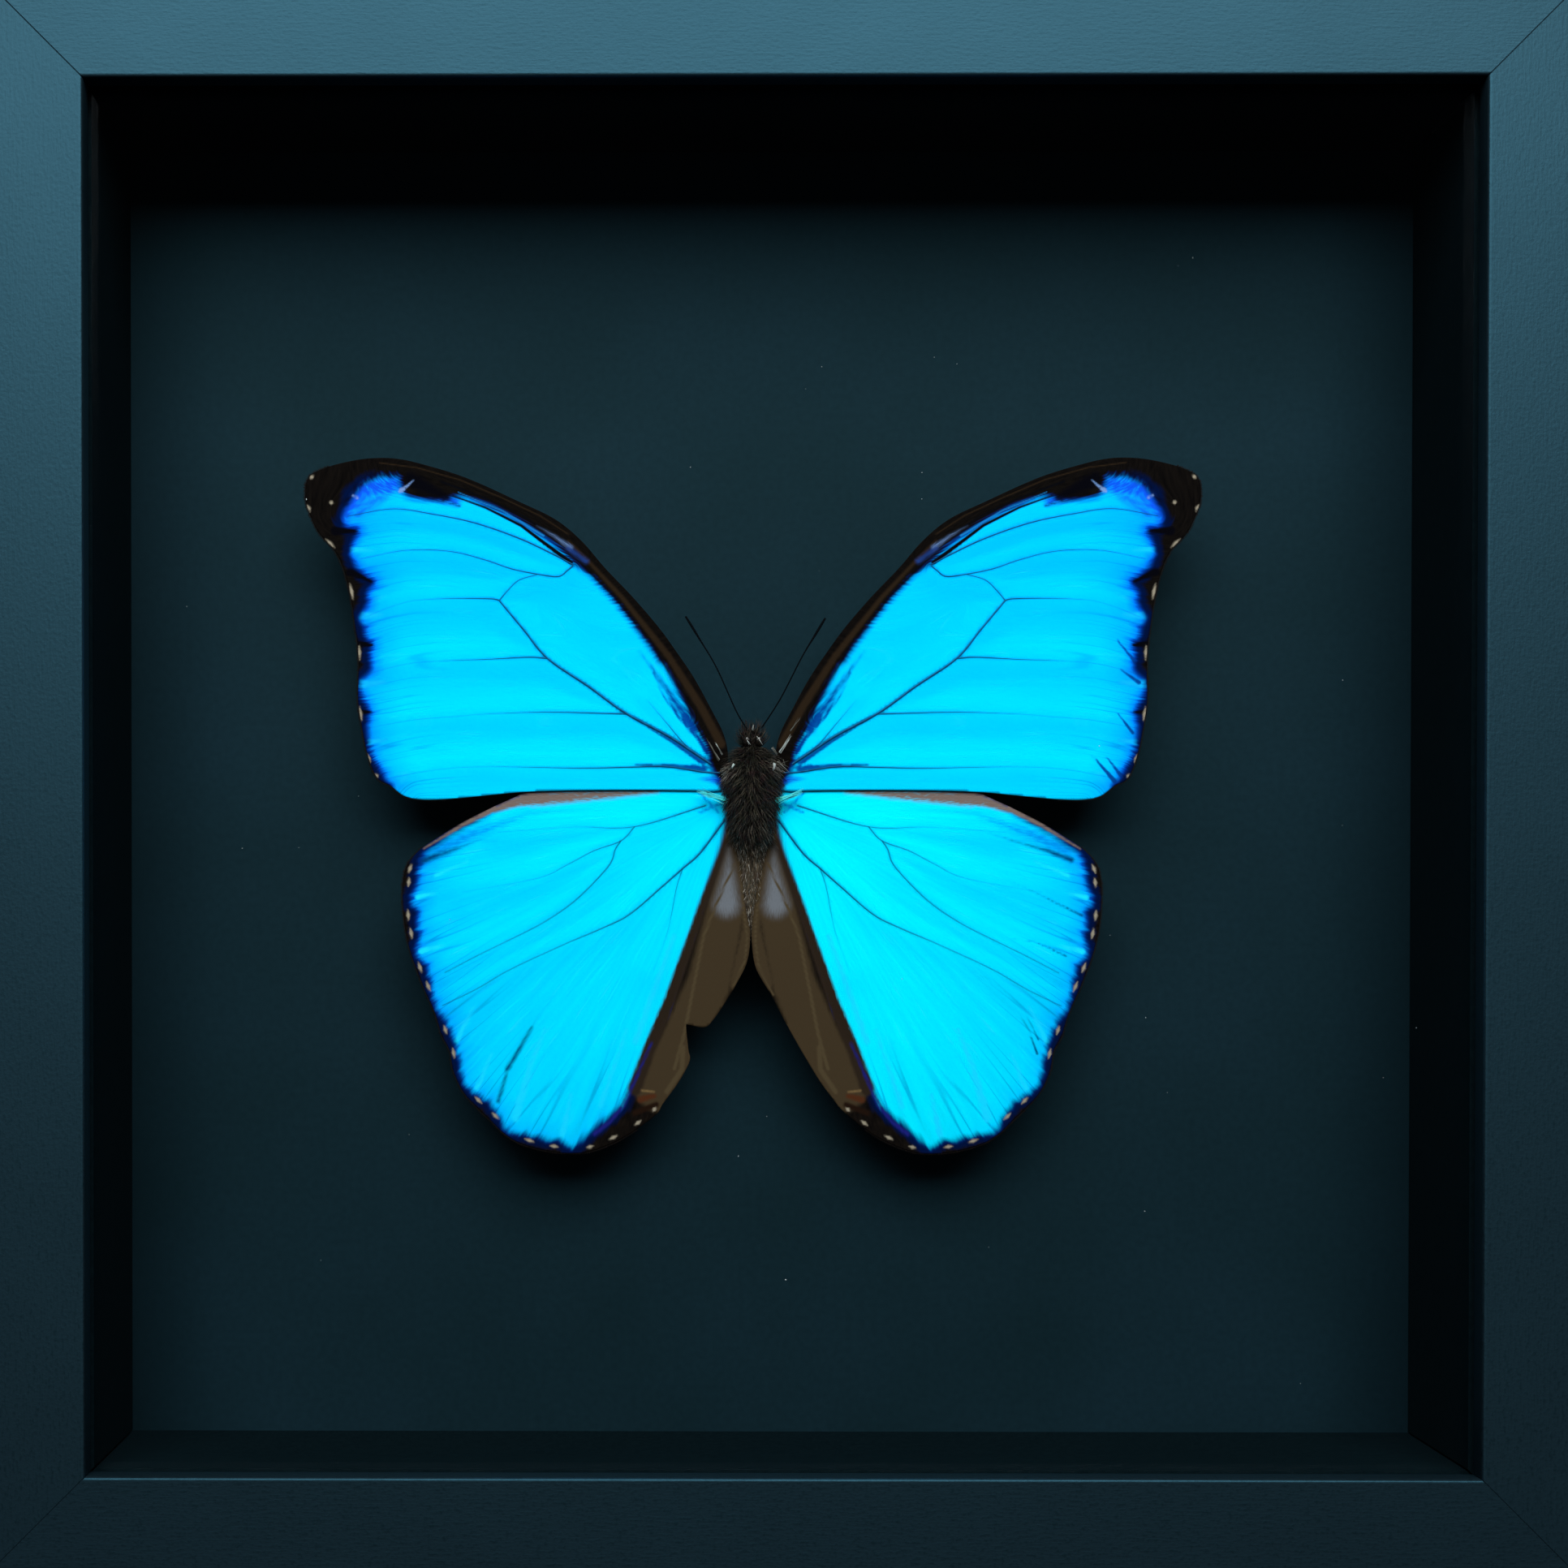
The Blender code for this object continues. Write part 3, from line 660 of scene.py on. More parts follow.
def wing_points(loop, lines, fine_line):
    """Points that cover a wing in a triangular pattern, closer together near the fine line."""
    low, high = loop.min(axis=0), loop.max(axis=0)
    kept = []
    for step, is_fine in ((COARSE, False), (FINE, True)):
        rows = np.arange(low[1], high[1], step * math.sqrt(3) / 2)
        cols = np.arange(low[0], high[0], step)
        grid = np.array([(x + (i % 2) * step / 2, y) for i, y in enumerate(rows) for x in cols])
        grid = grid[inside(grid, loop)]
        near = distance_to(grid, fine_line) < FINE_BAND
        grid = grid[near == is_fine]
        clear = distance_to(grid, loop[::2], closed=True) > 0.5 * FINE
        for line in lines:
            clear &= distance_to(grid, line) > 0.45 * step
        kept.append(grid[clear])
    return np.vstack(kept)


def make_wing(name, side, edge, veins, fine_line, lift, paint_layers, front, under):
    """Covers the outline with small triangles, paints layers on them and gives the sheet its thickness."""
    loop = smooth_line(edge, 0.3, closed=True)
    lines = [smooth_line(line, 0.5) for line, *taper in veins.values()]
    lines = [line[inside(line, loop) & (distance_to(line, loop[::2], closed=True) > 0.3)] for line in lines]
    filling = wing_points(loop, lines, fine_line)
    everything = np.vstack([loop, *lines, filling])
    edges, start = [], len(loop)
    for line in lines:
        edges += [(start + i, start + i + 1) for i in range(len(line) - 1)]
        start += len(line)
    made = delaunay_2d_cdt([Vector(p) for p in everything], edges, [list(range(len(loop)))], 1, 1e-5)
    flat = np.array([tuple(p) for p in made[0]])
    tris = np.array(made[2])
    a, b, c = flat[tris[:, 0]], flat[tris[:, 1]], flat[tris[:, 2]]
    area = (b[:, 0] - a[:, 0]) * (c[:, 1] - a[:, 1]) - (b[:, 1] - a[:, 1]) * (c[:, 0] - a[:, 0])
    tris[area * side < 0] = tris[area * side < 0][:, ::-1]
    total = len(flat)
    rise = wing_rise(flat, veins, lift)
    sides = np.sort(np.vstack([tris[:, :2], tris[:, 1:], tris[:, ::2]]), axis=1)
    pairs, uses = np.unique(sides, axis=0, return_counts=True)
    rim = {tuple(pair) for pair in pairs[uses == 1]}
    faces = [tuple(t) for t in tris] + [tuple(t + total) for t in tris[:, ::-1]]
    for t in tris:
        for p, q in ((t[0], t[1]), (t[1], t[2]), (t[2], t[0])):
            if (min(p, q), max(p, q)) in rim:
                faces.append((q, p, p + total, q + total))
    slots = np.zeros(len(faces), np.int32)
    slots[len(tris):] = 1
    verts = np.vstack([wing_place(flat, rise, side), wing_place(flat, rise - WING_THICK, side)])
    wing = add_object(name, verts, faces, [front, under], slots)
    for layer, values in paint_layers(flat, loop, side).items():
        store(wing, layer, np.tile(values, 2))
    return wing


def fan_between(points, lines):
    """A coordinate that runs across the wing from vein to vein, so that its levels follow them."""
    total, weight = np.zeros(len(points)), np.zeros(len(points))
    for level, line in lines:
        w = 1 / (distance_to(points, line) + 0.6) ** 2
        total += w * level
        weight += w
    return total / weight


def forewing_layers(flat, loop, side):
    outer = smooth_line(FORE_BLUE_OUTER, 0.5)
    blue = np.vstack([smooth_line(FORE_BLUE_FRONT, 0.7), outer, PAST_HIND_EDGE])
    levels = [
        (52.0, RADIAL_FRONT[:5]), (43.5, FORE_VEINS["upper_branch"][0]),
        (36.0, FORE_VEINS["second_branch"][0]),
        (28.0, FORE_VEINS["third_branch"][0]), (18.0, FORE_VEINS["fourth_branch"][0]),
        (8.5, FORE_VEINS["fifth_branch"][0]), (0.0, FORE_VEINS["anal"][0]), (-5.0, [(57, -5), (8, -3.4)]),
        (22.0, [(36.0, 28.0), (12.0, 9.0)]),
    ]
    return {
        "blue_mm": signed_distance(flat, blue),
        "dusk_mm": distance_to(flat, outer),
        "fan_mm": fan_between(flat, levels),
        "reach_mm": np.hypot(flat[:, 0] - 4, flat[:, 1]),
        # Painted sheen: a paler blue, strongest low on the wing and away from its outer border
        "painted_sheen": np.clip(1 - flat[:, 1] / 42, 0, 1) * np.clip(distance_to(flat, outer) / 6, 0, 1),
        "vein": vein_cover(flat, FORE_VEINS),
        "cream": brush(flat, spot_strokes(FORE_SPOTS, loop)),
        **{layer: brush(flat, paint[3], side) for layer, paint in FORE_PAINT.items()},
    }


def streaks(tree, fan_scale, reach_scale, detail=3.0):
    """Noise drawn out along the rows of scales, from the wing base to its border."""
    fan = add_node(tree, "ShaderNodeAttribute", attribute_name="fan_mm")["Fac"]
    reach = add_node(tree, "ShaderNodeAttribute", attribute_name="reach_mm")["Fac"]
    across = add_node(tree, "ShaderNodeMath", {0: fan, 1: fan_scale}, operation="MULTIPLY")[0]
    along = add_node(tree, "ShaderNodeMath", {0: reach, 1: reach_scale}, operation="MULTIPLY")[0]
    place = add_node(tree, "ShaderNodeCombineXYZ", {"X": across, "Y": along})[0]
    return add_node(tree, "ShaderNodeTexNoise", {"Vector": place, "Scale": 1.0, "Detail": detail})["Fac"]


def lay_over(tree, colour, paint, weight, levels=None, top=1.0):
    """Lays paint over a colour by a weight, or smoothly where the weight rises between two levels."""
    if levels:
        weight = add_node(
            tree, "ShaderNodeMapRange",
            {"Value": weight, "From Min": levels[0], "From Max": levels[1], "To Max": top},
            interpolation_type="SMOOTHSTEP",
        )[0]
    return add_node(tree, "ShaderNodeMix", {0: weight, 6: colour, 7: paint}, data_type="RGBA")[2]


def add_paint(tree, colour, layer, paint, ragged, ground):
    """Lays painted scales, or a painted highlight or shade, over a colour. Noise pushes their edge in and
    out.
    """
    weight = add_node(tree, "ShaderNodeAttribute", attribute_name=layer)["Fac"]
    uneven = add_node(
        tree, "ShaderNodeMath", {0: ground, 1: 1.5 * ragged, 2: 1.0}, operation="MULTIPLY_ADD",
    )[0]
    weight = add_node(tree, "ShaderNodeMath", {0: weight, 1: uneven}, operation="MULTIPLY")[0]
    return lay_over(tree, colour, paint, weight, (0.05, 0.8))


def scale_material(name, ramp, painted_sheen, brown, paints, rays, edge_teeth):
    """Wing scales: a colour ramp inwards from the border, with a painted sheen, rays, veins and painted
    scales over it.
    """
    material, tree = start_material(name)
    layers = {
        layer: add_node(tree, "ShaderNodeAttribute", attribute_name=layer)["Fac"]
        for layer in ("blue_mm", "dusk_mm", "painted_sheen", "vein", "cream")
    }

    # Distances from the edge of the blue, with the teeth that the rows of scales give it
    teeth = add_node(tree, "ShaderNodeMath", {0: streaks(tree, 1.6, 0.16), 1: 0.5}, operation="SUBTRACT")[0]
    shifted = add_node(
        tree, "ShaderNodeMath", {0: teeth, 1: edge_teeth, 2: layers["blue_mm"]}, operation="MULTIPLY_ADD",
    )[0]
    dusk = add_node(
        tree, "ShaderNodeMath", {0: teeth, 1: edge_teeth * 3, 2: layers["dusk_mm"]},
        operation="MULTIPLY_ADD",
    )[0]

    # The blue field, with a painted sheen of paler blue, paler and darker rays and a few bright scales
    depth = add_node(tree, "ShaderNodeMapRange", {"Value": dusk, "From Max": 10.0})[0]
    colour = add_node(tree, "ShaderNodeValToRGB", {"Fac": depth}, stops=ramp)["Color"]
    colour = lay_over(tree, colour, painted_sheen, layers["painted_sheen"])
    gain = add_node(tree, "ShaderNodeMapRange", {
        "Value": streaks(tree, 0.9, 0.05), "From Min": 0.3, "From Max": 0.7,
        "To Min": 1 - rays, "To Max": 1 + rays,
    })[0]
    colour = add_node(tree, "ShaderNodeHueSaturation", {"Value": gain, "Color": colour})[0]
    colour = lay_over(tree, colour, "#2CD4FF", streaks(tree, 2.2, 0.14), (0.58, 0.78), 4 * rays)

    # Fine furrows run in from the border and die out about 15 mm in
    level = streaks(tree, 0.32, 0.012, 1.0)
    level = add_node(tree, "ShaderNodeMath", {0: level, 1: 12.0}, operation="MULTIPLY")[0]
    wrapped = add_node(tree, "ShaderNodeMath", {0: level, 1: 1.0}, operation="PINGPONG")[0]
    furrow_strength = add_node(tree, "ShaderNodeMapRange", {
        "Value": dusk, "From Min": 3.0, "From Max": 15.0, "To Min": 0.55, "To Max": 0.0,
    })[0]
    colour = lay_over(tree, colour, "#0070C0", wrapped, (0.82, 1.0), furrow_strength)

    rough_edge = add_node(
        tree, "ShaderNodeMath", {0: streaks(tree, 3.0, 0.7, 4.0), 1: 0.5}, operation="SUBTRACT",
    )[0]
    for layer, (code, in_blue, ragged, strokes) in paints.items():
        if in_blue:
            colour = add_paint(tree, colour, layer, code, ragged, rough_edge)
    colour = lay_over(tree, colour, "#005886", layers["vein"])

    # The ground: black-brown, and navy in the last millimetre before the blue of the outer border
    ground = add_node(
        tree, "ShaderNodeValToRGB", {"Fac": streaks(tree, 3.0, 0.6)},
        stops=[(0.3, brown[0]), (0.7, brown[1])],
    )["Color"]
    near_border = add_node(
        tree, "ShaderNodeMapRange", {"Value": dusk, "From Min": 9.0, "From Max": 4.0},
        interpolation_type="SMOOTHSTEP",
    )[0]
    ground = lay_over(tree, ground, "#010E34", shifted, (-1.7, -0.7), near_border)
    colour = lay_over(tree, "#00226C", colour, shifted, (-0.3, 1.2))
    is_blue = add_node(
        tree, "ShaderNodeMapRange", {"Value": shifted, "From Min": -0.6, "From Max": 0.3},
        interpolation_type="SMOOTHSTEP",
    )[0]
    colour = lay_over(tree, ground, colour, is_blue)
    for layer, (code, in_blue, ragged, strokes) in paints.items():
        if not in_blue:
            colour = add_paint(tree, colour, layer, code, ragged, rough_edge)
    colour = lay_over(tree, colour, "#8C8474", layers["cream"])

    # Single scales, drawn 0.4 mm across so that they show, and the ridges of their rows
    grain = add_node(tree, "ShaderNodeTexNoise", {
        "Vector": add_node(tree, "ShaderNodeTexCoord")["Object"], "Scale": 2600.0, "Detail": 2.0,
    })["Fac"]
    mottle = add_node(tree, "ShaderNodeMapRange", {"Value": grain, "To Min": 0.95, "To Max": 1.05})[0]
    colour = add_node(tree, "ShaderNodeHueSaturation", {"Value": mottle, "Color": colour})[0]
    relief = add_node(
        tree, "ShaderNodeMath", {0: grain, 1: 0.4, 2: streaks(tree, 5.0, 0.8)}, operation="MULTIPLY_ADD",
    )[0]
    bump = add_node(tree, "ShaderNodeBump", {"Height": relief, "Strength": 0.25, "Distance": 0.00012})[0]
    shine = add_node(tree, "ShaderNodeMath", {0: is_blue, 1: 0.3}, operation="MULTIPLY")[0]
    add_surface(tree, {
        "Base Color": colour, "Metallic": shine, "Roughness": 0.55, "Specular IOR Level": 0.0,
        "Normal": bump,
    })
    return material


# Blue morpho scales: ridges on each scale reflect only blue, so the colour has no red in it and goes
# from sky blue in the field through royal blue to nearly black at the border
# The colour after the ramp is a painted sheen, a paler blue laid over part of the field
fore_scales = scale_material(
    "forewing_scales",
    [(0.0, "#0040C8"), (0.08, "#0074EC"), (0.22, "#009CFA"),
     (0.5, "#00A6FF"), (1.0, "#00AEFF")],
    "#00C8FF", ("#070606", "#100D0B"), FORE_PAINT, 0.035, 1.6,
)

# Underside scales: matt brown, mottled in soft bands
under_scales, tree = start_material("underside_scales")
band = streaks(tree, 0.2, 0.25)
shade = add_node(
    tree, "ShaderNodeValToRGB", {"Fac": band},
    stops=[(0.3, "#3A2A1E"), (0.5, "#5E4934"), (0.7, "#8C7758")],
)["Color"]
add_surface(tree, {"Base Color": shade, "Roughness": 0.8, "Specular IOR Level": 0.1})

for word, side in (("left", -1), ("right", 1)):
    wing = make_wing(
        "forewing_scales_" + word, side, FOREWING_EDGE, FORE_VEINS, FOREWING_EDGE[6:35], FOREWING_LIFT,
        forewing_layers, fore_scales, under_scales,
    )
    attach(wing, "root")
    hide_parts("forewing_" + word)


# ---- Hindwings ----
# The rear pair of wings lies behind the forewings. Each has a brown fold beside the abdomen, and the
# inner corner of the left one is torn away.

HINDWING_EDGE = [
    (4.9, -2.0), (11.0, 3.5), (21.0, 6.5), (31.0, 4.0), (37.0, -1.5), (39.9, -3.8), (44.8, -6.1),
    (49.8, -8.6), (53.4, -10.8), (56.7, -13.0), (58.6, -14.9), (59.6, -16.6), (60.1, -19.2),
    (60.1, -22.4), (59.8, -26.1), (59.1, -29.7), (57.9, -33.4), (56.4, -37.2), (54.6, -41.3),
    (53.5, -45.0), (52.1, -47.7), (51.6, -50.8), (50.0, -54.4), (47.6, -57.2), (45.1, -59.6),
    (42.8, -61.8), (39.7, -63.6), (35.0, -64.8), (31.1, -65.1), (27.9, -64.7), (23.8, -63.1),
    (20.3, -61.0),
]
INNER_EDGES = {
    "left": [(16.9, -58.4), (15.8, -56.6), (13.2, -53.0), (11.3, -49.4), (11.5, -47.4), (11.9, -43.4),
             (11.4, -43.2), (8.7, -43.6), (7.2, -42.2), (5.4, -39.6), (3.5, -36.5), (1.5, -32.3),
             (1.0, -27.6), (1.6, -24.3), (2.4, -18.0), (2.9, -11.7), (4.6, -6.0)],
    "right": [(16.4, -57.8), (14.7, -55.7), (12.6, -52.9), (9.9, -48.5), (6.9, -43.2), (4.2, -38.1),
              (1.6, -33.5), (0.9, -29.1), (0.9, -26.2), (1.3, -23.3), (2.1, -17.9), (3.2, -13.8),
              (4.6, -6.0)],
}
HIND_BLUE_OUTER = [
    (56.6, -13.9), (57.5, -15.4), (57.8, -17.4), (58.0, -19.4), (58.9, -21.3), (58.7, -23.0),
    (57.8, -23.7), (58.0, -25.7), (57.6, -28.3), (58.2, -30.3), (57.6, -31.9), (56.4, -33.5),
    (55.8, -35.7), (55.2, -38.6), (54.6, -40.7), (53.2, -42.6), (52.2, -44.6), (51.5, -46.9),
    (50.8, -49.7), (50.1, -53.0), (48.1, -55.1), (45.6, -56.8), (44.0, -59.0), (42.5, -61.6),
    (39.6, -62.1), (36.5, -62.9), (33.4, -63.3), (31.2, -64.3), (28.5, -62.1), (25.7, -59.6),
]
HIND_BLUE_INNER = [
    (22.5, -57.0), (21.4, -54.7), (19.9, -51.6), (18.2, -47.2), (16.4, -43.6), (14.6, -39.7),
    (12.1, -31.7), (10.3, -26.8), (8.0, -19.3), (5.9, -13.2), (4.7, -8.0), (4.0, -4.0),
]
HIND_BLUE_TOP = [
    (6.0, 1.0), (14.0, 0.0), (20.7, -2.0), (30.2, -2.8), (38.6, -3.9), (43.0, -5.7), (48.0, -8.4),
    (52.6, -11.0),
]
HIND_VEINS = {
    "front_vein": ([(44.0, -10.4), (31.0, -9.5), (20.7, -9.4), (8.6, -5.8)], 0.02, 0.22, 0.3),
    "second_vein": ([(50.0, -20.6), (37.2, -18.2), (32.0, -15.8), (27.6, -13.5), (23.0, -11.8),
                     (20.7, -9.4)], 0.02, 0.17, 0.3),
    "third_vein": ([(53.0, -34.3), (47.5, -31.4), (41.8, -28.6), (36.0, -25.6), (30.6, -21.8),
                    (25.2, -16.2), (24.0, -13.3), (23.0, -11.8)], 0.09, 0.18, 0.3),
    "fourth_vein": ([(53.4, -39.9), (47.5, -37.0), (41.8, -33.7), (33.0, -29.6), (26.0, -26.6),
                     (21.5, -24.3), (16.0, -19.6), (12.5, -16.5), (9.5, -13.8), (5.4, -8.3)],
                    0.1, 0.36, 0.4),
    "fifth_vein": ([(17.5, -34.0), (15.0, -27.0), (13.6, -20.0), (12.5, -16.5)], 0.02, 0.13, 0.2),
}
HIND_SPOTS = [
    ((58.9, -16.6), 1.6), ((59.1, -18.9), 1.6), ((59.2, -24.5), 1.8), ((58.7, -27.6), 1.8),
    ((57.2, -33.4), 1.8), ((55.8, -36.6), 1.8), ((52.9, -44.0), 1.6), ((51.5, -48.0), 1.8),
    ((47.3, -56.0), 1.6), ((44.4, -58.7), 1.6), ((38.6, -62.9), 1.7), ((34.4, -63.9), 1.5),
    ((28.3, -64.0), 1.2), ((24.3, -62.4), 1.6), ((20.1, -59.9), 1.4), ((17.3, -57.6), 0.9),
]
FOLD_CREASE = [(3.6, -15.7), (6.5, -22.0), (8.9, -28.0), (10.9, -38.0), (12.2, -44.7), (13.9, -50.7)]
HIND_PAINT = {
    "deep": ("#0086DC", True, 1.2, [
        ([(54.0, -13.4), (47.0, -10.2), (38.5, -7.2), (26.0, -6.2)], (1.6, -3.0), 5.0),
        ([(9.9, -3.4), (6.4, -7.0)], 0.3, 0.8), ([(9.6, -7.0), (5.4, -5.2)], 0.3, 0.8),
    ]),
    # Painted shade: dark navy streaks along creases in the wings
    "crease_shade": ("#003C70", True, 0.6, [
        ([(42.3, -50.7), (38.2, -43.7)], (0.6, 0.2), 1.6, -1),
        ([(46.2, -40.6), (48.0, -44.2), (49.4, -48.0)], (-0.2, 0.3), 0.7, 1),
        ([(47.4, -41.2), (49.6, -45.6)], (-0.2, 0.2), 0.7, 1),
        ([(42.4, -28.0), (49.0, -29.0), (54.2, -31.4)], (-0.4, 0.2), 0.8, 1),
        ([(43.9, -56.2), (42.3, -50.7), (38.2, -43.7), (34.4, -37.6)], (0.4, -0.6), 1.6, -1),
        ([(57.2, -15.4), (51.0, -13.2), (44.0, -10.6)], (1.2, -1.4), 2.4, -1),
        ([(55.1, -15.1), (51.0, -13.5), (45.6, -11.9), (39.1, -9.9)], (0.7, -0.7), 1.6, 1),
        ([(56.9, -24.5), (43.6, -18.0)], (0.3, -0.4), 1.0, 1),
    ]),
    "glint": ("#12D0FF", True, 1.6, [
        ([(41.0, -59.0), (38.4, -50.0), (36.0, -44.0)], (1.2, 0.2), 1.6),
        ([(20.5, -46.0), (14.0, -28.0)], (0.8, 0.3), 1.8),
        ([(26.5, -57.0), (22.0, -44.0)], (0.6, 0.1), 1.6),
        ([(57.6, -21.4), (54.6, -20.8)], (0.8, 0.1), 0.9),
        ([(57.0, -30.6), (53.0, -29.6)], (0.9, 0.1), 0.9),
        ([(54.6, -17.8), (49.0, -15.4)], (0.5, 0.1), 0.9),
        ([(51.0, -46.0), (48.0, -40.0)], (0.7, 0.1), 1.2),
        ([(47.5, -54.0), (45.0, -48.0)], (0.7, 0.1), 1.2),
        ([(33.0, -62.0), (31.5, -55.0)], (0.9, 0.1), 1.4),
    ]),
    "fold": ("#382E20", False, 0.5, [
        ([(1.8, -6.0), (4.4, -20.0), (8.0, -36.0), (12.5, -47.0), (16.2, -53.6)], (4.8, 8.6), 2.4),
        ([(1.6, -10.0), (0.8, -27.0), (3.0, -36.0)], 3.0, 2.0),
    ]),
    # Painted shade: a dark brown band along the inner edge of the blue, beside the fold
    "fold_shade": ("#251D16", False, 0.7, [
        ([(5.0, -12.0), (8.4, -20.8), (11.6, -30.0), (14.6, -38.6), (18.2, -47.4), (20.6, -54.0)],
         (1.0, 2.2), 1.4),
    ]),
    "lilac": ("#60656C", False, 0.9, [
        ([(4.6, -13.0), (4.7, -18.0), (5.0, -22.6)], (-1.2, 3.4), 4.8),
    ]),
    "seam": ("#433928", False, 0.3, [
        (FOLD_CREASE, (0.3, 0.5), 0.5),
        ([(2.6, -17.6), (2.1, -24.0), (1.5, -28.2), (1.9, -32.4), (3.9, -36.6)], (0.2, 0.3), 0.5, -1),
        ([(2.4, -17.6), (1.8, -23.3), (1.5, -26.4), (1.5, -29.2), (2.1, -33.4), (4.6, -38.1)],
         (0.2, 0.3), 0.5, 1),
        ([(12.4, -47.0), (12.6, -50.8), (15.2, -54.6)], 0.7, 0.9),
    ]),
    "rust": ("#432414", False, 0.5, [([(19.6, -55.9), (17.4, -55.3)], (1.0, 0.6), 1.4)]),
    "buff": ("#6A5638", False, 0.5, [([(19.4, -54.4), (17.4, -54.6)], 0.2, 0.9)]),
    "umber": ("#1B100A", False, 0.4, [([(20.6, -58.2), (17.0, -56.8)], 0.8, 1.2)]),
    "violet": ("#181C6C", False, 1.2, [
        ([(27.4, -61.8), (24.6, -59.4), (22.6, -56.9), (20.4, -52.2), (17.8, -46.2)], (0.6, 0.1), 1.2),
    ]),
    "band": ("#6C5E59", False, 1.2, [
        ([(17.0, -3.2), (24.0, -3.8), (32.0, -4.3), (38.0, -4.7)], (0.6, 2.2), 2.2),
        ([(38.0, -4.5), (41.5, -5.5), (44.5, -6.6)], (2.1, 0.6), 1.4),
        ([(44.5, -6.4), (50.0, -9.2), (56.6, -13.2)], (0.7, 0.1), 0.8),
    ]),
}


def hindwing_layers(flat, loop, side):
    outer = smooth_line(HIND_BLUE_OUTER, 0.5)
    inner = smooth_line(HIND_BLUE_INNER, 1.0)
    blue = np.vstack([smooth_line(HIND_BLUE_TOP, 1.0), outer, inner])
    # Painted sheen: a paler blue about a line across the wing, half as strong on the left wing as on the
    # right
    bright = {-1: 0.5, 1: 1.0}[side]
    return {
        "blue_mm": signed_distance(flat, blue),
        "dusk_mm": distance_to(flat, outer),
        "fan_mm": 42 * np.arctan2(-(flat[:, 1] + 6), flat[:, 0] - 6),
        "reach_mm": np.hypot(flat[:, 0] - 4, flat[:, 1] + 4),
        "painted_sheen": bright * np.exp(-((distance_to(flat, [(12.0, -20.0), (28.0, -58.0)]) / 26.0) ** 2)),
        "vein": vein_cover(flat, HIND_VEINS),
        "cream": brush(flat, spot_strokes(HIND_SPOTS, loop)),
        **{layer: brush(flat, paint[3], side) for layer, paint in HIND_PAINT.items()},
    }


# The same scales are a little greener on the hindwings, and their rows show more
# Its painted sheen is a greener blue
hind_scales = scale_material(
    "hindwing_scales",
    [(0.0, "#0048D0"), (0.06, "#0088F4"), (0.16, "#00A8FC"),
     (0.4, "#00C0FF"), (1.0, "#00C8FF")],
    "#00E0FF", ("#070606", "#130F0C"), HIND_PAINT, 0.06, 1.4,
)
for word, side in (("left", -1), ("right", 1)):
    wing = make_wing(
        "hindwing_scales_" + word, side, HINDWING_EDGE + INNER_EDGES[word], HIND_VEINS,
        HINDWING_EDGE[6:] + INNER_EDGES[word][:3], HINDWING_LIFT, hindwing_layers, hind_scales,
        under_scales,
    )
    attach(wing, "root")
    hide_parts("hindwing_" + word)


# ---- Wing veins ----
# Hollow chitin tubes that stiffen each wing. They stand slightly proud of the scales, thick at the
# root and thinning to nothing towards the border.

# Chitin under sparse blue scales: a dark teal line with a slight gloss
vein_skin, tree = start_material("scaled_chitin_vein")
place = add_node(tree, "ShaderNodeTexCoord")["Object"]
worn = add_node(tree, "ShaderNodeTexNoise", {"Vector": place, "Scale": 900.0, "Detail": 2.0})["Fac"]
shade = add_node(
    tree, "ShaderNodeValToRGB", {"Fac": worn},
    stops=[(0.3, "#003A62"), (0.7, "#005684")],
)["Color"]
add_surface(tree, {"Base Color": shade, "Roughness": 0.5, "Specular IOR Level": 0.1})


def start_tree(name, inputs):
    """A new node tree for geometry with named inputs, and the outputs of its input node."""
    tree = bpy.data.node_groups.new(name, "GeometryNodeTree")
    tree.interface.new_socket("Geometry", in_out="INPUT", socket_type="NodeSocketGeometry")
    tree.interface.new_socket("Geometry", in_out="OUTPUT", socket_type="NodeSocketGeometry")
    for label, kind in inputs:
        tree.interface.new_socket(label, in_out="INPUT", socket_type="NodeSocket" + kind)
    return tree, add_node(tree, "NodeGroupInput")


def end_tree(tree, geometry, material):
    real = add_node(tree, "GeometryNodeRealizeInstances", {"Geometry": geometry})[0]
    done = add_node(tree, "GeometryNodeSetMaterial", {"Geometry": real, "Material": material})[0]
    add_node(tree, "NodeGroupOutput", {"Geometry": done})


def run_tree(ob, tree, values):
    """Runs the tree on an object with the named inputs set, and keeps what it makes as a plain mesh."""
    modifier = ob.modifiers.new(tree.name, "NODES")
    modifier.node_group = tree
    for item in tree.interface.items_tree:
        if item.in_out == "INPUT" and item.name in values:
            modifier[item.identifier] = values[item.name]
    bpy.context.view_layer.update()
    shaped = ob.evaluated_get(bpy.context.evaluated_depsgraph_get())
    mesh = bpy.data.meshes.new_from_object(shaped)
    ob.modifiers.clear()
    ob.data = mesh
    mesh.shade_smooth()
    return ob


tube_tree, given = start_tree("tapered_tubes", [
    ("Sides", "Int"), ("Radius", "Float"), ("Material", "Material"),
])
path = add_node(tube_tree, "GeometryNodeMeshToCurve", {"Mesh": given["Geometry"]})[0]
taper = add_node(tube_tree, "GeometryNodeInputNamedAttribute", {"Name": "taper"}, data_type="FLOAT")[0]
thick = add_node(tube_tree, "ShaderNodeMath", {0: taper, 1: given["Radius"]}, operation="MULTIPLY")[0]
ring = add_node(tube_tree, "GeometryNodeCurvePrimitiveCircle", {"Resolution": given["Sides"]})[0]
tube = add_node(
    tube_tree, "GeometryNodeCurveToMesh",
    {"Curve": path, "Profile Curve": ring, "Scale": thick, "Fill Caps": True},
)[0]
end_tree(tube_tree, tube, given["Material"])


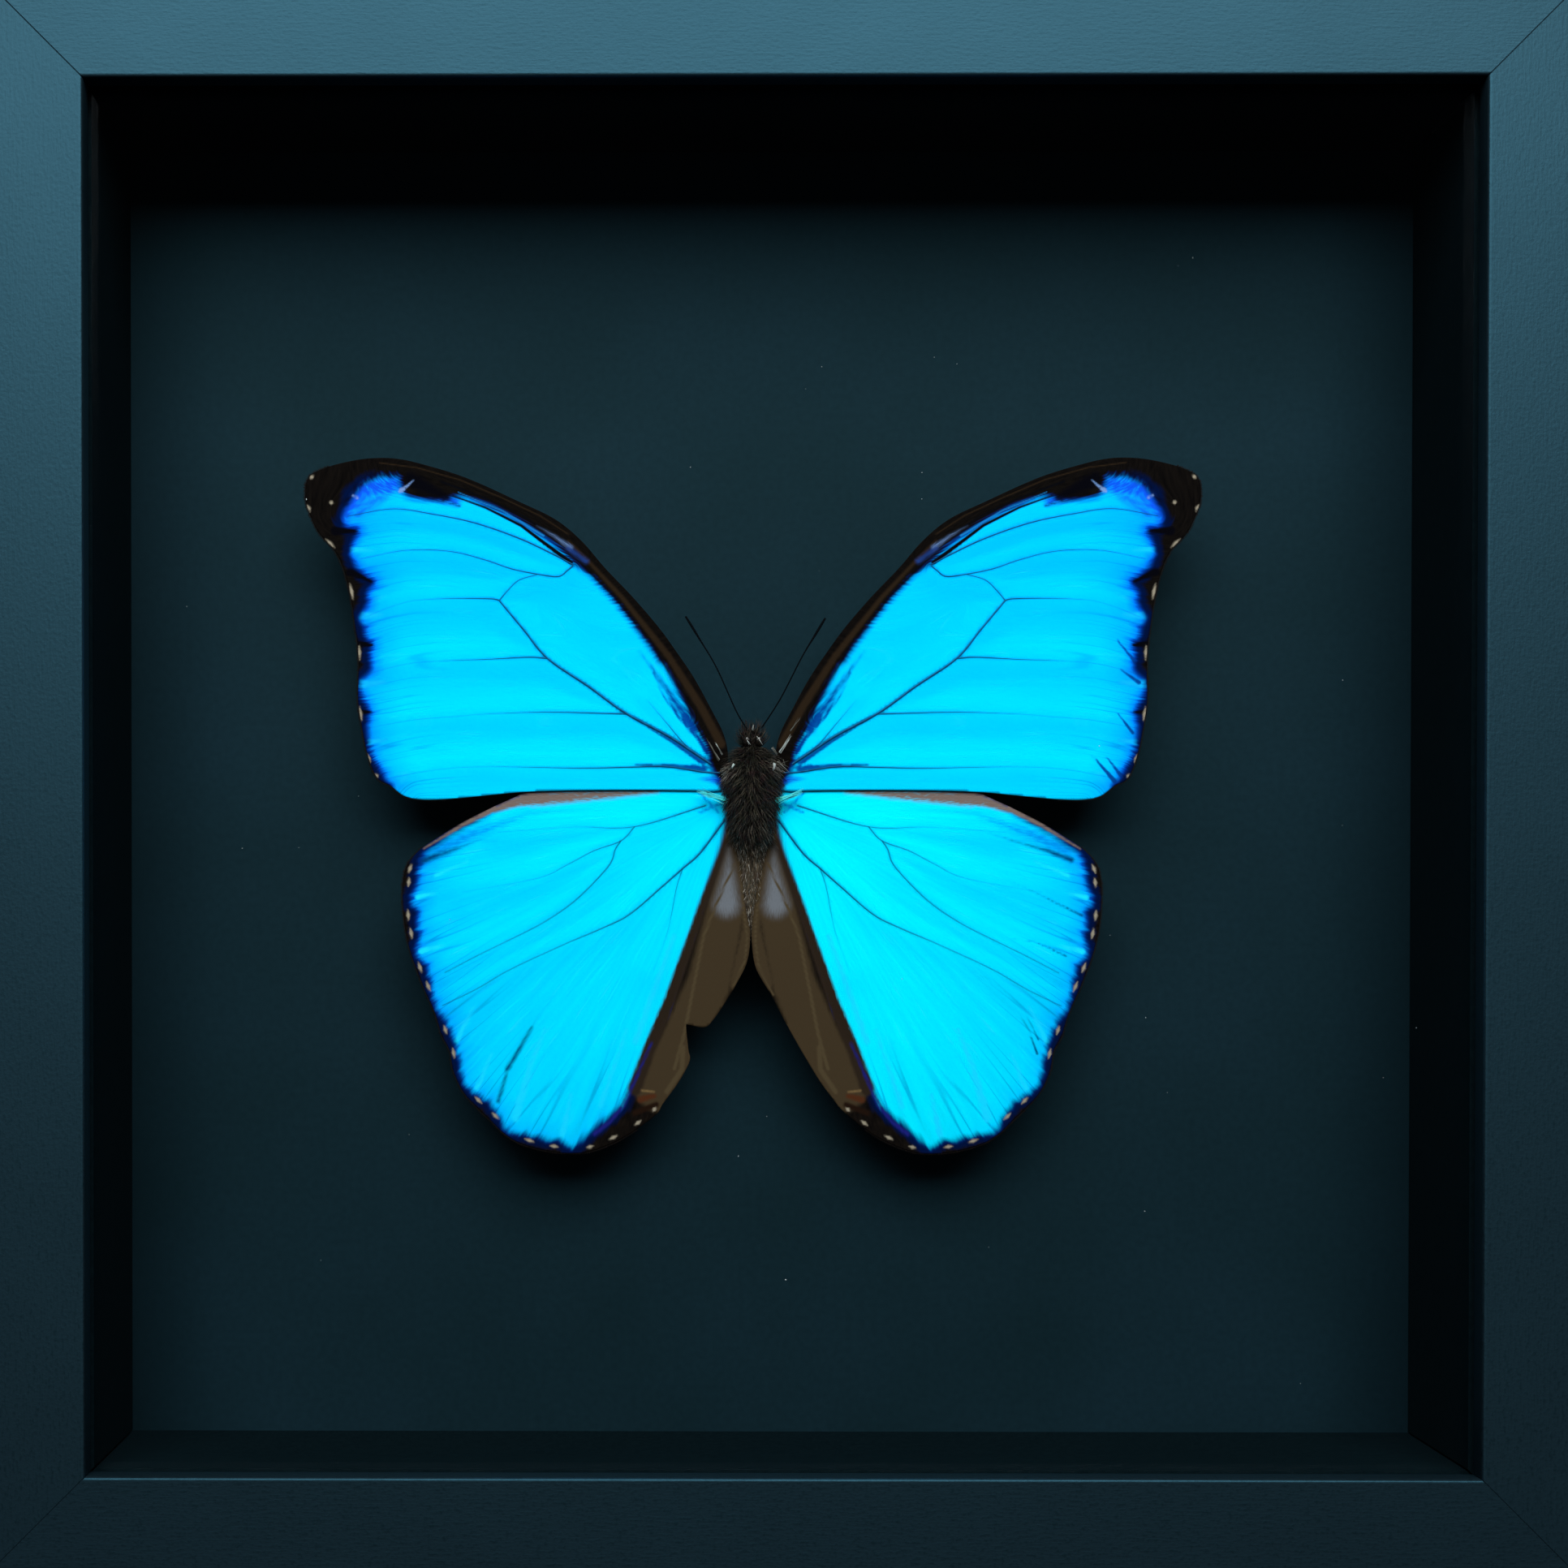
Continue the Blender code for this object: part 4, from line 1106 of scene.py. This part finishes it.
def add_paths(name, paths):
    """An object of loose paths. Each point is a place in metres and its share of the full radius."""
    verts = np.vstack([path[:, :3] for path in paths])
    edges, start = [], 0
    for path in paths:
        edges += [(start + i, start + i + 1) for i in range(len(path) - 1)]
        start += len(path)
    ob = add_object(name, verts, [], edges=edges)
    store(ob, "taper", np.hstack([path[:, 3] for path in paths]))
    return ob


for label, veins, lift in (("fore", FORE_VEINS, FOREWING_LIFT), ("hind", HIND_VEINS, HINDWING_LIFT)):
    for word, side in (("left", -1), ("right", 1)):
        paths = []
        for line, *taper in veins.values():
            line = smooth_line(line, 0.5)
            place = wing_place(line, wing_rise(line, veins, lift) + 0.01, side)
            paths.append(np.c_[place, vein_width(np.linspace(0, 1, len(line)), *taper)])
        tubes = add_paths(f"{label}wing_veins_{word}", paths)
        run_tree(tubes, tube_tree, {"Sides": 6, "Radius": 0.38 * MM, "Material": vein_skin})
        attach(tubes, "root")


# ---- Fringe ----
# A row of narrow scales stands along the outer border of each wing, cream beside the pale spots and
# black-brown between them.

# Fringe scales: dry matt chitin, cream or black-brown from one scale to the next
fringe_scales, tree = start_material("fringe_scales")
cream = add_node(tree, "ShaderNodeAttribute", attribute_name="cream")["Fac"]
shade = lay_over(tree, "#120C0A", "#9A917F", cream)
add_surface(tree, {"Base Color": shade, "Roughness": 0.7, "Specular IOR Level": 0.1})

fringe_tree, given = start_tree("fringe", [
    ("Spacing", "Float"), ("Length", "Float"), ("Width", "Float"), ("Seed", "Int"),
    ("Material", "Material"),
])
path = add_node(fringe_tree, "GeometryNodeMeshToCurve", {"Mesh": given["Geometry"]})[0]
even = add_node(
    fringe_tree, "GeometryNodeResampleCurve", {"Curve": path, "Length": given["Spacing"]}, mode="LENGTH",
)[0]
cone = add_node(fringe_tree, "GeometryNodeMeshCone", {
    "Vertices": 4, "Radius Top": 0.15, "Radius Bottom": 0.5, "Depth": 1.0,
})[0]
size = add_node(fringe_tree, "ShaderNodeCombineXYZ", {
    "X": given["Width"], "Y": 0.04 * MM, "Z": given["Length"],
})[0]
leaf = add_node(fringe_tree, "GeometryNodeTransform", {"Geometry": cone, "Scale": size})[0]
outward = add_node(
    fringe_tree, "GeometryNodeInputNamedAttribute", {"Name": "outward"}, data_type="FLOAT_VECTOR",
)[0]
tilt = add_node(fringe_tree, "FunctionNodeRandomValue", {
    "Min": (-0.25, -0.15, -0.25), "Max": (0.25, 0.15, 0.25), "Seed": given["Seed"],
}, data_type="FLOAT_VECTOR")[0]
way = add_node(fringe_tree, "ShaderNodeVectorMath", {0: outward, 1: tilt}, operation="ADD")[0]
spin = add_node(fringe_tree, "FunctionNodeAlignRotationToVector", {"Vector": way}, axis="Z")[0]
stand = add_node(fringe_tree, "FunctionNodeRandomValue", {
    "Min": (0.7, 0.7, 0.6), "Max": (1.1, 1.2, 1.25), "Seed": given["Seed"],
}, data_type="FLOAT_VECTOR")[0]
row = add_node(fringe_tree, "GeometryNodeInstanceOnPoints", {
    "Points": even, "Instance": leaf, "Rotation": spin, "Scale": stand,
})[0]
end_tree(fringe_tree, row, given["Material"])

FRINGES = (
    ("fore", FOREWING_EDGE, (16, 38), FORE_SPOTS, FORE_VEINS, FOREWING_LIFT),
    ("hind", HINDWING_EDGE, (9, 32), HIND_SPOTS, HIND_VEINS, HINDWING_LIFT),
)
for label, edge, (first, last), spots, veins, lift in FRINGES:
    loop = smooth_line(edge, 0.3, closed=True)
    line = smooth_line(edge[first:last], 0.3)
    way = np.gradient(line, axis=0)
    way /= np.linalg.norm(way, axis=1)[:, None]
    near_spot = [([spot, spot], length, 0.8) for spot, length in spots if length > 0.5]
    cream = brush(line, [([*ends], 1.0 + wide, soft) for ends, wide, soft in near_spot])
    rise = wing_rise(line, veins, lift) - WING_THICK / 2
    for word, side in (("left", -1), ("right", 1)):
        out = np.c_[side * -way[:, 1], np.zeros(len(way)), way[:, 0]]
        fringe = add_object(
            f"{label}wing_fringe_{word}", wing_place(line, rise, side), [],
            edges=[(i, i + 1) for i in range(len(line) - 1)],
        )
        store(fringe, "outward", out, "FLOAT_VECTOR")
        store(fringe, "cream", cream)
        run_tree(fringe, fringe_tree, {
            "Spacing": 0.13 * MM, "Length": 0.36 * MM, "Width": 0.15 * MM, "Seed": 5 + side,
            "Material": fringe_scales,
        })
        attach(fringe, "root")


# ---- Body ----
# Head, thorax and abdomen, dried hard. The thorax and head are covered with fine dark hair, with pale
# hairs beside the wing roots. The abdomen is slim and has a short brown down.

# Insect cuticle: thin hard chitin, dark brown, with a dull gloss and fine pits
cuticle, tree = start_material("dark_insect_cuticle")
place = add_node(tree, "ShaderNodeTexCoord")["Object"]
pits = add_node(tree, "ShaderNodeTexNoise", {"Vector": place, "Scale": 1500.0, "Detail": 4.0})["Fac"]
dark = add_node(
    tree, "ShaderNodeValToRGB", {"Fac": pits},
    stops=[(0.3, "#0A0807"), (0.7, "#1A140F")],
)["Color"]
dusty = add_node(
    tree, "ShaderNodeValToRGB", {"Fac": pits},
    stops=[(0.3, "#3E3529"), (0.7, "#5E5242")],
)["Color"]
belly = add_node(tree, "ShaderNodeAttribute", attribute_name="down")["Fac"]
bump = add_node(tree, "ShaderNodeBump", {"Height": pits, "Strength": 0.5, "Distance": 0.0002})[0]
add_surface(tree, {
    "Base Color": lay_over(tree, dark, dusty, belly), "Roughness": 0.7, "Specular IOR Level": 0.1,
    "Normal": bump,
})

# Height on the body, half width and half depth. The abdomen lies back, between the folds of the wings.
BODY = [
    (7.0, 0.3, 0.3), (6.6, 0.9, 0.8), (5.8, 1.3, 1.4), (4.9, 1.5, 1.7), (4.0, 1.5, 1.5), (3.1, 2.1, 2.2),
    (1.5, 3.3, 3.2), (-1.5, 4.0, 3.8), (-5.0, 3.6, 4.0), (-8.5, 3.0, 3.5), (-11.0, 2.5, 2.7),
    (-12.6, 2.7, 2.2), (-15.0, 2.6, 1.9), (-18.5, 2.2, 1.6), (-22.5, 1.7, 1.2), (-25.5, 1.1, 0.8),
    (-28.2, 0.2, 0.25),
]
BODY_SIDES = 32
RING_STEP, RING_GROOVE, ABDOMEN_START = 1.9, 0.07, 12.5
stations = smooth_line([(-height, wide, deep) for height, wide, deep in BODY], 0.35)
verts, faces = [], []
for row, (drop, wide, deep) in enumerate(stations):
    ring_groove = 0
    if drop > ABDOMEN_START:
        ring_groove = RING_GROOVE * (0.5 + 0.5 * math.cos(math.tau * drop / RING_STEP)) ** 6
    for i in range(BODY_SIDES):
        turn = math.tau * i / BODY_SIDES
        wide_here = max(wide - ring_groove, 0.05)
        deep_here = max(deep - ring_groove, 0.05)
        back = 1.7 * min(1, max(0, (drop - 11) / 4))
        verts.append((wide_here * math.cos(turn), back + deep_here * math.sin(turn), -drop))
        if row:
            a, b = (row - 1) * BODY_SIDES, row * BODY_SIDES
            j = (i + 1) % BODY_SIDES
            faces.append((a + i, b + i, b + j, a + j))
faces.append(tuple(range(BODY_SIDES)))
faces.append(tuple(reversed(range((len(stations) - 1) * BODY_SIDES, len(stations) * BODY_SIDES))))
skin = np.array(verts)
body = add_object("body_cuticle", skin * MM + np.array(THORAX), faces, [cuticle])
down = np.clip((-skin[:, 2] - 12.4 - 0.5 * np.abs(skin[:, 0]) ** 0.5) / 2.0 + 0.8, 0, 1)
store(body, "down", down)
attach(body, "root")
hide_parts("body")

# Insect hair: thin tapering bristles of chitin, black-brown to grey from one to the next
bristle, tree = start_material("insect_hair")
tone = add_node(tree, "ShaderNodeAttribute", attribute_name="tone")["Fac"]
shade = add_node(
    tree, "ShaderNodeValToRGB", {"Fac": tone},
    stops=[(0.0, "#060605"), (0.42, "#0E0D0A"), (0.58, "#28231A"),
           (0.8, "#5A5347"), (1.0, "#A7A39A")],
)["Color"]
place = add_node(tree, "ShaderNodeTexCoord")["Object"]
stain = add_node(tree, "ShaderNodeTexNoise", {"Vector": place, "Scale": 700.0, "Detail": 1.0})["Fac"]
shade = lay_over(tree, shade, "#2E1216", stain, (0.56, 0.66), 0.5)
shade = lay_over(tree, shade, "#141C0C", stain, (0.44, 0.34), 0.5)
add_surface(tree, {"Base Color": shade, "Roughness": 0.6, "Specular IOR Level": 0.2})

coat_tree, given = start_tree("coat_of_hair", [
    ("Density", "Float"), ("Length", "Float"), ("Width", "Float"), ("Lean", "Float"), ("Seed", "Int"),
    ("Material", "Material"),
])
cover = add_node(coat_tree, "GeometryNodeInputNamedAttribute", {"Name": "cover"}, data_type="FLOAT")[0]
dense = add_node(coat_tree, "ShaderNodeMath", {0: cover, 1: given["Density"]}, operation="MULTIPLY")[0]
rooted = add_node(coat_tree, "GeometryNodeDistributePointsOnFaces", {
    "Mesh": given["Geometry"], "Density": dense, "Seed": given["Seed"],
})
comb = add_node(coat_tree, "GeometryNodeInputNamedAttribute", {"Name": "comb"}, data_type="FLOAT_VECTOR")[0]
stray = add_node(coat_tree, "FunctionNodeRandomValue", {
    "Min": (-0.6, -0.6, -0.6), "Max": (0.6, 0.6, 0.6), "Seed": given["Seed"],
}, data_type="FLOAT_VECTOR")[0]
lean = add_node(coat_tree, "ShaderNodeVectorMath", {0: comb, 1: stray}, operation="ADD")[0]
shaft = add_node(coat_tree, "GeometryNodeMeshCone", {
    "Vertices": 3, "Side Segments": 3, "Radius Top": 0.1, "Radius Bottom": 0.5, "Depth": 1.0,
})[0]
thin = add_node(coat_tree, "ShaderNodeCombineXYZ", {
    "X": given["Width"], "Y": given["Width"], "Z": given["Length"],
})[0]
shaft = add_node(coat_tree, "GeometryNodeTransform", {"Geometry": shaft, "Scale": thin})[0]
where = add_node(coat_tree, "GeometryNodeInputPosition")[0]
up = add_node(coat_tree, "ShaderNodeSeparateXYZ", {0: where})["Z"]
share = add_node(coat_tree, "ShaderNodeMath", {0: up, 1: given["Length"]}, operation="DIVIDE")[0]
curve = add_node(coat_tree, "ShaderNodeMath", {0: share, 1: up}, operation="MULTIPLY")[0]
curve = add_node(coat_tree, "ShaderNodeMath", {0: curve, 1: given["Lean"]}, operation="MULTIPLY")[0]
bend = add_node(coat_tree, "ShaderNodeCombineXYZ", {"X": curve})[0]
shaft = add_node(coat_tree, "GeometryNodeSetPosition", {"Geometry": shaft, "Offset": bend})[0]
stand = add_node(coat_tree, "FunctionNodeAxesToRotation", {
    "Primary Axis": rooted["Normal"], "Secondary Axis": lean,
}, primary_axis="Z", secondary_axis="X")[0]
grown = add_node(coat_tree, "FunctionNodeRandomValue", {
    "Min": (0.8, 0.8, 0.45), "Max": (1.2, 1.2, 1.15), "Seed": given["Seed"],
}, data_type="FLOAT_VECTOR")[0]
coat = add_node(coat_tree, "GeometryNodeInstanceOnPoints", {
    "Points": rooted["Points"], "Instance": shaft, "Rotation": stand, "Scale": grown,
})[0]
paled = add_node(coat_tree, "GeometryNodeInputNamedAttribute", {"Name": "pale"}, data_type="FLOAT")[0]
chance = add_node(coat_tree, "FunctionNodeRandomValue", {
    2: 0.0, 3: 0.7, "Seed": given["Seed"],
}, data_type="FLOAT")[1]
tone = add_node(coat_tree, "ShaderNodeMath", {0: paled, 1: chance}, operation="ADD")[0]
coat = add_node(
    coat_tree, "GeometryNodeStoreNamedAttribute", {"Geometry": coat, "Name": "tone", "Value": tone},
    data_type="FLOAT", domain="INSTANCE",
)[0]
end_tree(coat_tree, coat, given["Material"])

# Where the hair grows, how pale it is, and which way it is combed: down the body and away from its middle
front = np.clip(0.8 - (skin[:, 1] - 1.7 * np.clip((-skin[:, 2] - 11) / 4, 0, 1)) / 3.0, 0, 1)
height = skin[:, 2]
TUFTS = [((-4.0, 0.2), 1.7), ((4.0, 0.9), 1.7)]
tuft = np.maximum.reduce([
    np.exp(-((skin[:, 0] - u) ** 2 + (height - v) ** 2) / wide**2) for (u, v), wide in TUFTS
])
COATS = {
    "thorax_hair": {
        "cover": front * np.clip((height + 12.4) / 1.5, 0, 1),
        "pale": 0.5 * tuft + 0.16 * np.clip((-height - 2) / 8, 0, 1),
        "comb": np.c_[0.35 * skin[:, 0], np.full(len(skin), -0.2), np.where(height > 4.2, 1.0, -1.3)],
        "values": {"Density": 12e6, "Length": 1.7 * MM, "Width": 0.19 * MM, "Lean": 1.0, "Seed": 11},
    },
    "abdomen_down": {
        "cover": front * np.clip((-height - 11.8) / 1.5, 0, 1),
        "pale": 0.36 - 0.26 * np.exp(-(skin[:, 0] / 0.35) ** 2) * np.clip((height + 19) / 3, 0, 1),
        "comb": np.c_[0.1 * skin[:, 0], np.zeros(len(skin)), np.full(len(skin), -1.5)],
        "values": {"Density": 14e6, "Length": 0.55 * MM, "Width": 0.12 * MM, "Lean": 1.4, "Seed": 12},
    },
}
for name, coat in COATS.items():
    hair = add_object(name, skin * MM + np.array(THORAX), faces)
    for layer in ("cover", "pale"):
        store(hair, layer, coat[layer])
    store(hair, "comb", coat["comb"], "FLOAT_VECTOR")
    run_tree(hair, coat_tree, {**coat["values"], "Material": bristle})
    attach(hair, "root")


# ---- Pale root hairs and eyes ----
# Long pale hairs lie in tufts over the wing roots, where they once sealed the joint between wing and
# thorax. The compound eyes are two smooth dark domes on the head.

# Root hair: hollow bristles with no pigment, white, or with a sea-green sheen from the wing below
root_hair, tree = start_material("pale_root_hair")
tint = add_node(tree, "ShaderNodeAttribute", attribute_name="tint")["Fac"]
shade = add_node(
    tree, "ShaderNodeValToRGB", {"Fac": tint},
    stops=[(0.0, "#3E3C34"), (0.24, "#B4BCBA"), (0.6, "#58E0D4"),
           (1.0, "#10B4CC")],
)["Color"]
add_surface(tree, {"Base Color": shade, "Roughness": 0.5, "Specular IOR Level": 0.3})

# Each tuft: where its hairs start and end beside the thorax, how many, how far they spread, their tint,
# and how far they stand towards the glass
ROOT_TUFTS = {
    "left": [
        ((-5.1, 2.8), (-6.5, 5.2), 7, 0.10, 0.2, 1.3), ((-5.7, 1.8), (-7.7, 5.4), 5, 0.12, 0.0, 1.3),
        ((-4.3, -5.1), (-9.4, -3.4), 36, 0.36, 0.82, 1.3), ((-3.2, 0.9), (-3.6, 0.1), 4, 0.10, 0.2, 3.6),
        ((-3.8, 1.0), (-5.3, -0.4), 8, 0.6, -0.1, 2.4), ((-0.8, 4.9), (-0.4, 4.1), 4, 0.12, 0.1, 3.2),
    ],
    "right": [
        ((4.7, 3.2), (6.7, 6.0), 9, 0.11, 0.2, 1.3), ((3.4, 3.8), (4.4, 2.6), 5, 0.12, 0.1, 1.8),
        ((6.5, 6.8), (8.1, 8.9), 5, 0.12, 0.0, 1.3), ((4.2, -5.1), (8.8, -3.5), 36, 0.36, 0.82, 1.3),
        ((3.6, 1.1), (3.5, -0.4), 5, 0.12, 0.2, 3.4), ((4.2, 1.4), (5.5, 0.2), 8, 0.6, -0.1, 2.4),
        ((0.1, 6.8), (0.2, 7.9), 5, 0.10, 0.15, 1.6), ((0.6, 5.6), (1.5, 4.2), 4, 0.10, 0.0, 3.2),
    ],
}
draw = np.random.default_rng(7)
for word, tufts in ROOT_TUFTS.items():
    paths, tints = [], []
    for start, end, count, spread, tint, forward in tufts:
        for i in range(count):
            ends = [
                np.array(spot) + draw.normal(0, spread * grow, 2) for spot, grow in ((start, 0.8), (end, 1))
            ]
            steps = np.linspace(0, 1, 5) * draw.uniform(0.6, 1.0)
            flat = ends[0] + (ends[1] - ends[0]) * steps[:, None]
            proud = forward + 0.5 * np.sin(steps * 3) + draw.uniform(0, 0.4)
            place = np.c_[flat[:, 0], -proud, flat[:, 1]] * MM + np.array(THORAX)
            paths.append(np.c_[place, 1.0 - 0.8 * steps])
            tints += [min(1, max(0, tint + draw.normal(0, 0.12)))] * len(steps)
    hair = add_paths("root_hair_" + word, paths)
    store(hair, "tint", tints)
    run_tree(hair, tube_tree, {"Sides": 4, "Radius": 0.08 * MM, "Material": root_hair})
    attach(hair, "root")

# Compound eye: thousands of facets 0.03 mm wide, so small that they read as one glossy black dome
facets, tree = start_material("compound_eye")
place = add_node(tree, "ShaderNodeTexCoord")["Object"]
facet = add_node(tree, "ShaderNodeTexVoronoi", {"Vector": place, "Scale": 9000.0})["Distance"]
shade = add_node(
    tree, "ShaderNodeValToRGB", {"Fac": facet},
    stops=[(0.1, "#0C0A0A"), (0.6, "#1E1612")],
)["Color"]
bump = add_node(tree, "ShaderNodeBump", {"Height": facet, "Strength": 0.3, "Distance": 0.00002})[0]
add_surface(tree, {"Base Color": shade, "Roughness": 0.22, "Specular IOR Level": 0.6, "Normal": bump})
EYE_SIZE = (0.85, 0.75, 1.0)
EYE_ROWS, EYE_SIDES = 12, 24
for word, side in (("left", -1), ("right", 1)):
    verts, faces = [], []
    for row in range(1, EYE_ROWS):
        slope = math.pi * row / EYE_ROWS
        for i in range(EYE_SIDES):
            turn = math.tau * i / EYE_SIDES
            ring = math.sin(slope)
            verts.append((ring * math.cos(turn), -math.cos(slope), ring * math.sin(turn)))
            if row > 1:
                a, b, j = (row - 2) * EYE_SIDES, (row - 1) * EYE_SIDES, (i + 1) % EYE_SIDES
                faces.append((a + i, a + j, b + j, b + i))
    faces.append(tuple(reversed(range(EYE_SIDES))))
    faces.append(tuple(range((EYE_ROWS - 2) * EYE_SIDES, (EYE_ROWS - 1) * EYE_SIDES)))
    dome = np.array(verts) * EYE_SIZE + (side * 0.95 + 0.15, -1.1, 5.1)
    eyeball = add_object("compound_eye_" + word, dome * MM + np.array(THORAX), faces, [facets])
    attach(eyeball, "root")


# ---- Antennae ----
# Two thin feelers that rise from the head and end in slim clubs. Each is a chain of short chitin
# rings, grown one onto the next.

# Antenna chitin: black-brown, ringed every 0.4 mm, which shows only as a slight roughness
feeler, tree = start_material("ringed_antenna_chitin")
place = add_node(tree, "ShaderNodeTexCoord")["Object"]
rings = add_node(tree, "ShaderNodeTexWave", {"Vector": place, "Scale": 800.0}, bands_direction="Z")["Fac"]
shade = add_node(
    tree, "ShaderNodeValToRGB", {"Fac": rings},
    stops=[(0.2, "#040608"), (0.8, "#090C0F")],
)["Color"]
add_surface(tree, {"Base Color": shade, "Roughness": 0.6, "Specular IOR Level": 0.0})

FEELERS = {
    "left": [
        (-0.9, 7.2, -0.9), (-2.7, 10.1, -1.5), (-6.1, 17.4, -2.2), (-9.1, 22.4, -2.4), (-11.3, 26.0, -2.2),
    ],
    "right": [
        (1.6, 7.2, -0.9), (4.8, 12.2, -1.7), (8.4, 19.2, -2.3), (10.5, 22.7, -2.4), (12.3, 25.7, -2.2),
    ],
}
FEELER_RADIUS, CLUB_PLACE, CLUB_LENGTH = 0.22, 0.9, 0.12
RING_BULGE, RING_TURNS = 0.12, 340
for word, points in FEELERS.items():
    line = smooth_line(points, 0.2)
    run = np.linspace(0, 1, len(line))
    club = 0.55 + 0.45 * np.exp(-((run - CLUB_PLACE) / CLUB_LENGTH) ** 2)
    club += RING_BULGE * np.cos(run * RING_TURNS)
    place = np.c_[line[:, 0], line[:, 2], line[:, 1]] * MM + np.array(THORAX)
    antenna = add_paths("antenna_chitin_" + word, [np.c_[place, club]])
    run_tree(antenna, tube_tree, {"Sides": 8, "Radius": FEELER_RADIUS * MM, "Material": feeler})
    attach(antenna, "root")
    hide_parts("antenna_" + word)


# ---- Dust ----
# A few specks of lint and paper dust, crumbs a quarter of a millimetre across. They have settled on
# the card and on the glass.

# House dust: pale grey fibres and crumbs, dull, slightly blue in the light of the box
dust, tree = start_material("house_dust")
place = add_node(tree, "ShaderNodeTexCoord")["Object"]
crumb = add_node(tree, "ShaderNodeTexNoise", {"Vector": place, "Scale": 3000.0, "Detail": 2.0})["Fac"]
shade = add_node(
    tree, "ShaderNodeValToRGB", {"Fac": crumb},
    stops=[(0.3, "#6E7A80"), (0.7, "#A9B2B4")],
)["Color"]
add_surface(tree, {"Base Color": shade, "Roughness": 0.9, "Specular IOR Level": 0.0})

dust_tree, given = start_tree("specks", [("Size", "Float"), ("Seed", "Int"), ("Material", "Material")])
crumb = add_node(dust_tree, "GeometryNodeMeshIcoSphere", {"Radius": given["Size"], "Subdivisions": 1})[0]
turn = add_node(dust_tree, "FunctionNodeRandomValue", {
    "Min": (0.0, 0.0, 0.0), "Max": (6.3, 6.3, 6.3), "Seed": given["Seed"],
}, data_type="FLOAT_VECTOR")[0]
squash = add_node(dust_tree, "FunctionNodeRandomValue", {
    "Min": (0.4, 0.4, 0.3), "Max": (1.5, 0.9, 0.6), "Seed": given["Seed"],
}, data_type="FLOAT_VECTOR")[0]
specks = add_node(dust_tree, "GeometryNodeInstanceOnPoints", {
    "Points": given["Geometry"], "Instance": crumb, "Rotation": turn, "Scale": squash,
})[0]
end_tree(dust_tree, specks, given["Material"])

card_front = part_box("backing_card")[0].y
glass_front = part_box("glass_pane")[0].y
draw = np.random.default_rng(23)
specks = [(-14.0, card_front, 57.0), (71.0, card_front, 92.0)]
for surface, count, reach in ((card_front, 26, 106), (glass_front, 12, 104)):
    for x, z in draw.uniform(-reach, reach, (count, 2)):
        specks.append((x, surface, z))
places = np.array([(x * MM, y - 0.02 * MM, z * MM + MIDDLE.z) for x, y, z in specks])
lint = add_object("dust_specks", places, [])
run_tree(lint, dust_tree, {"Size": 0.13 * MM, "Seed": 3, "Material": dust})
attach(lint, "root")
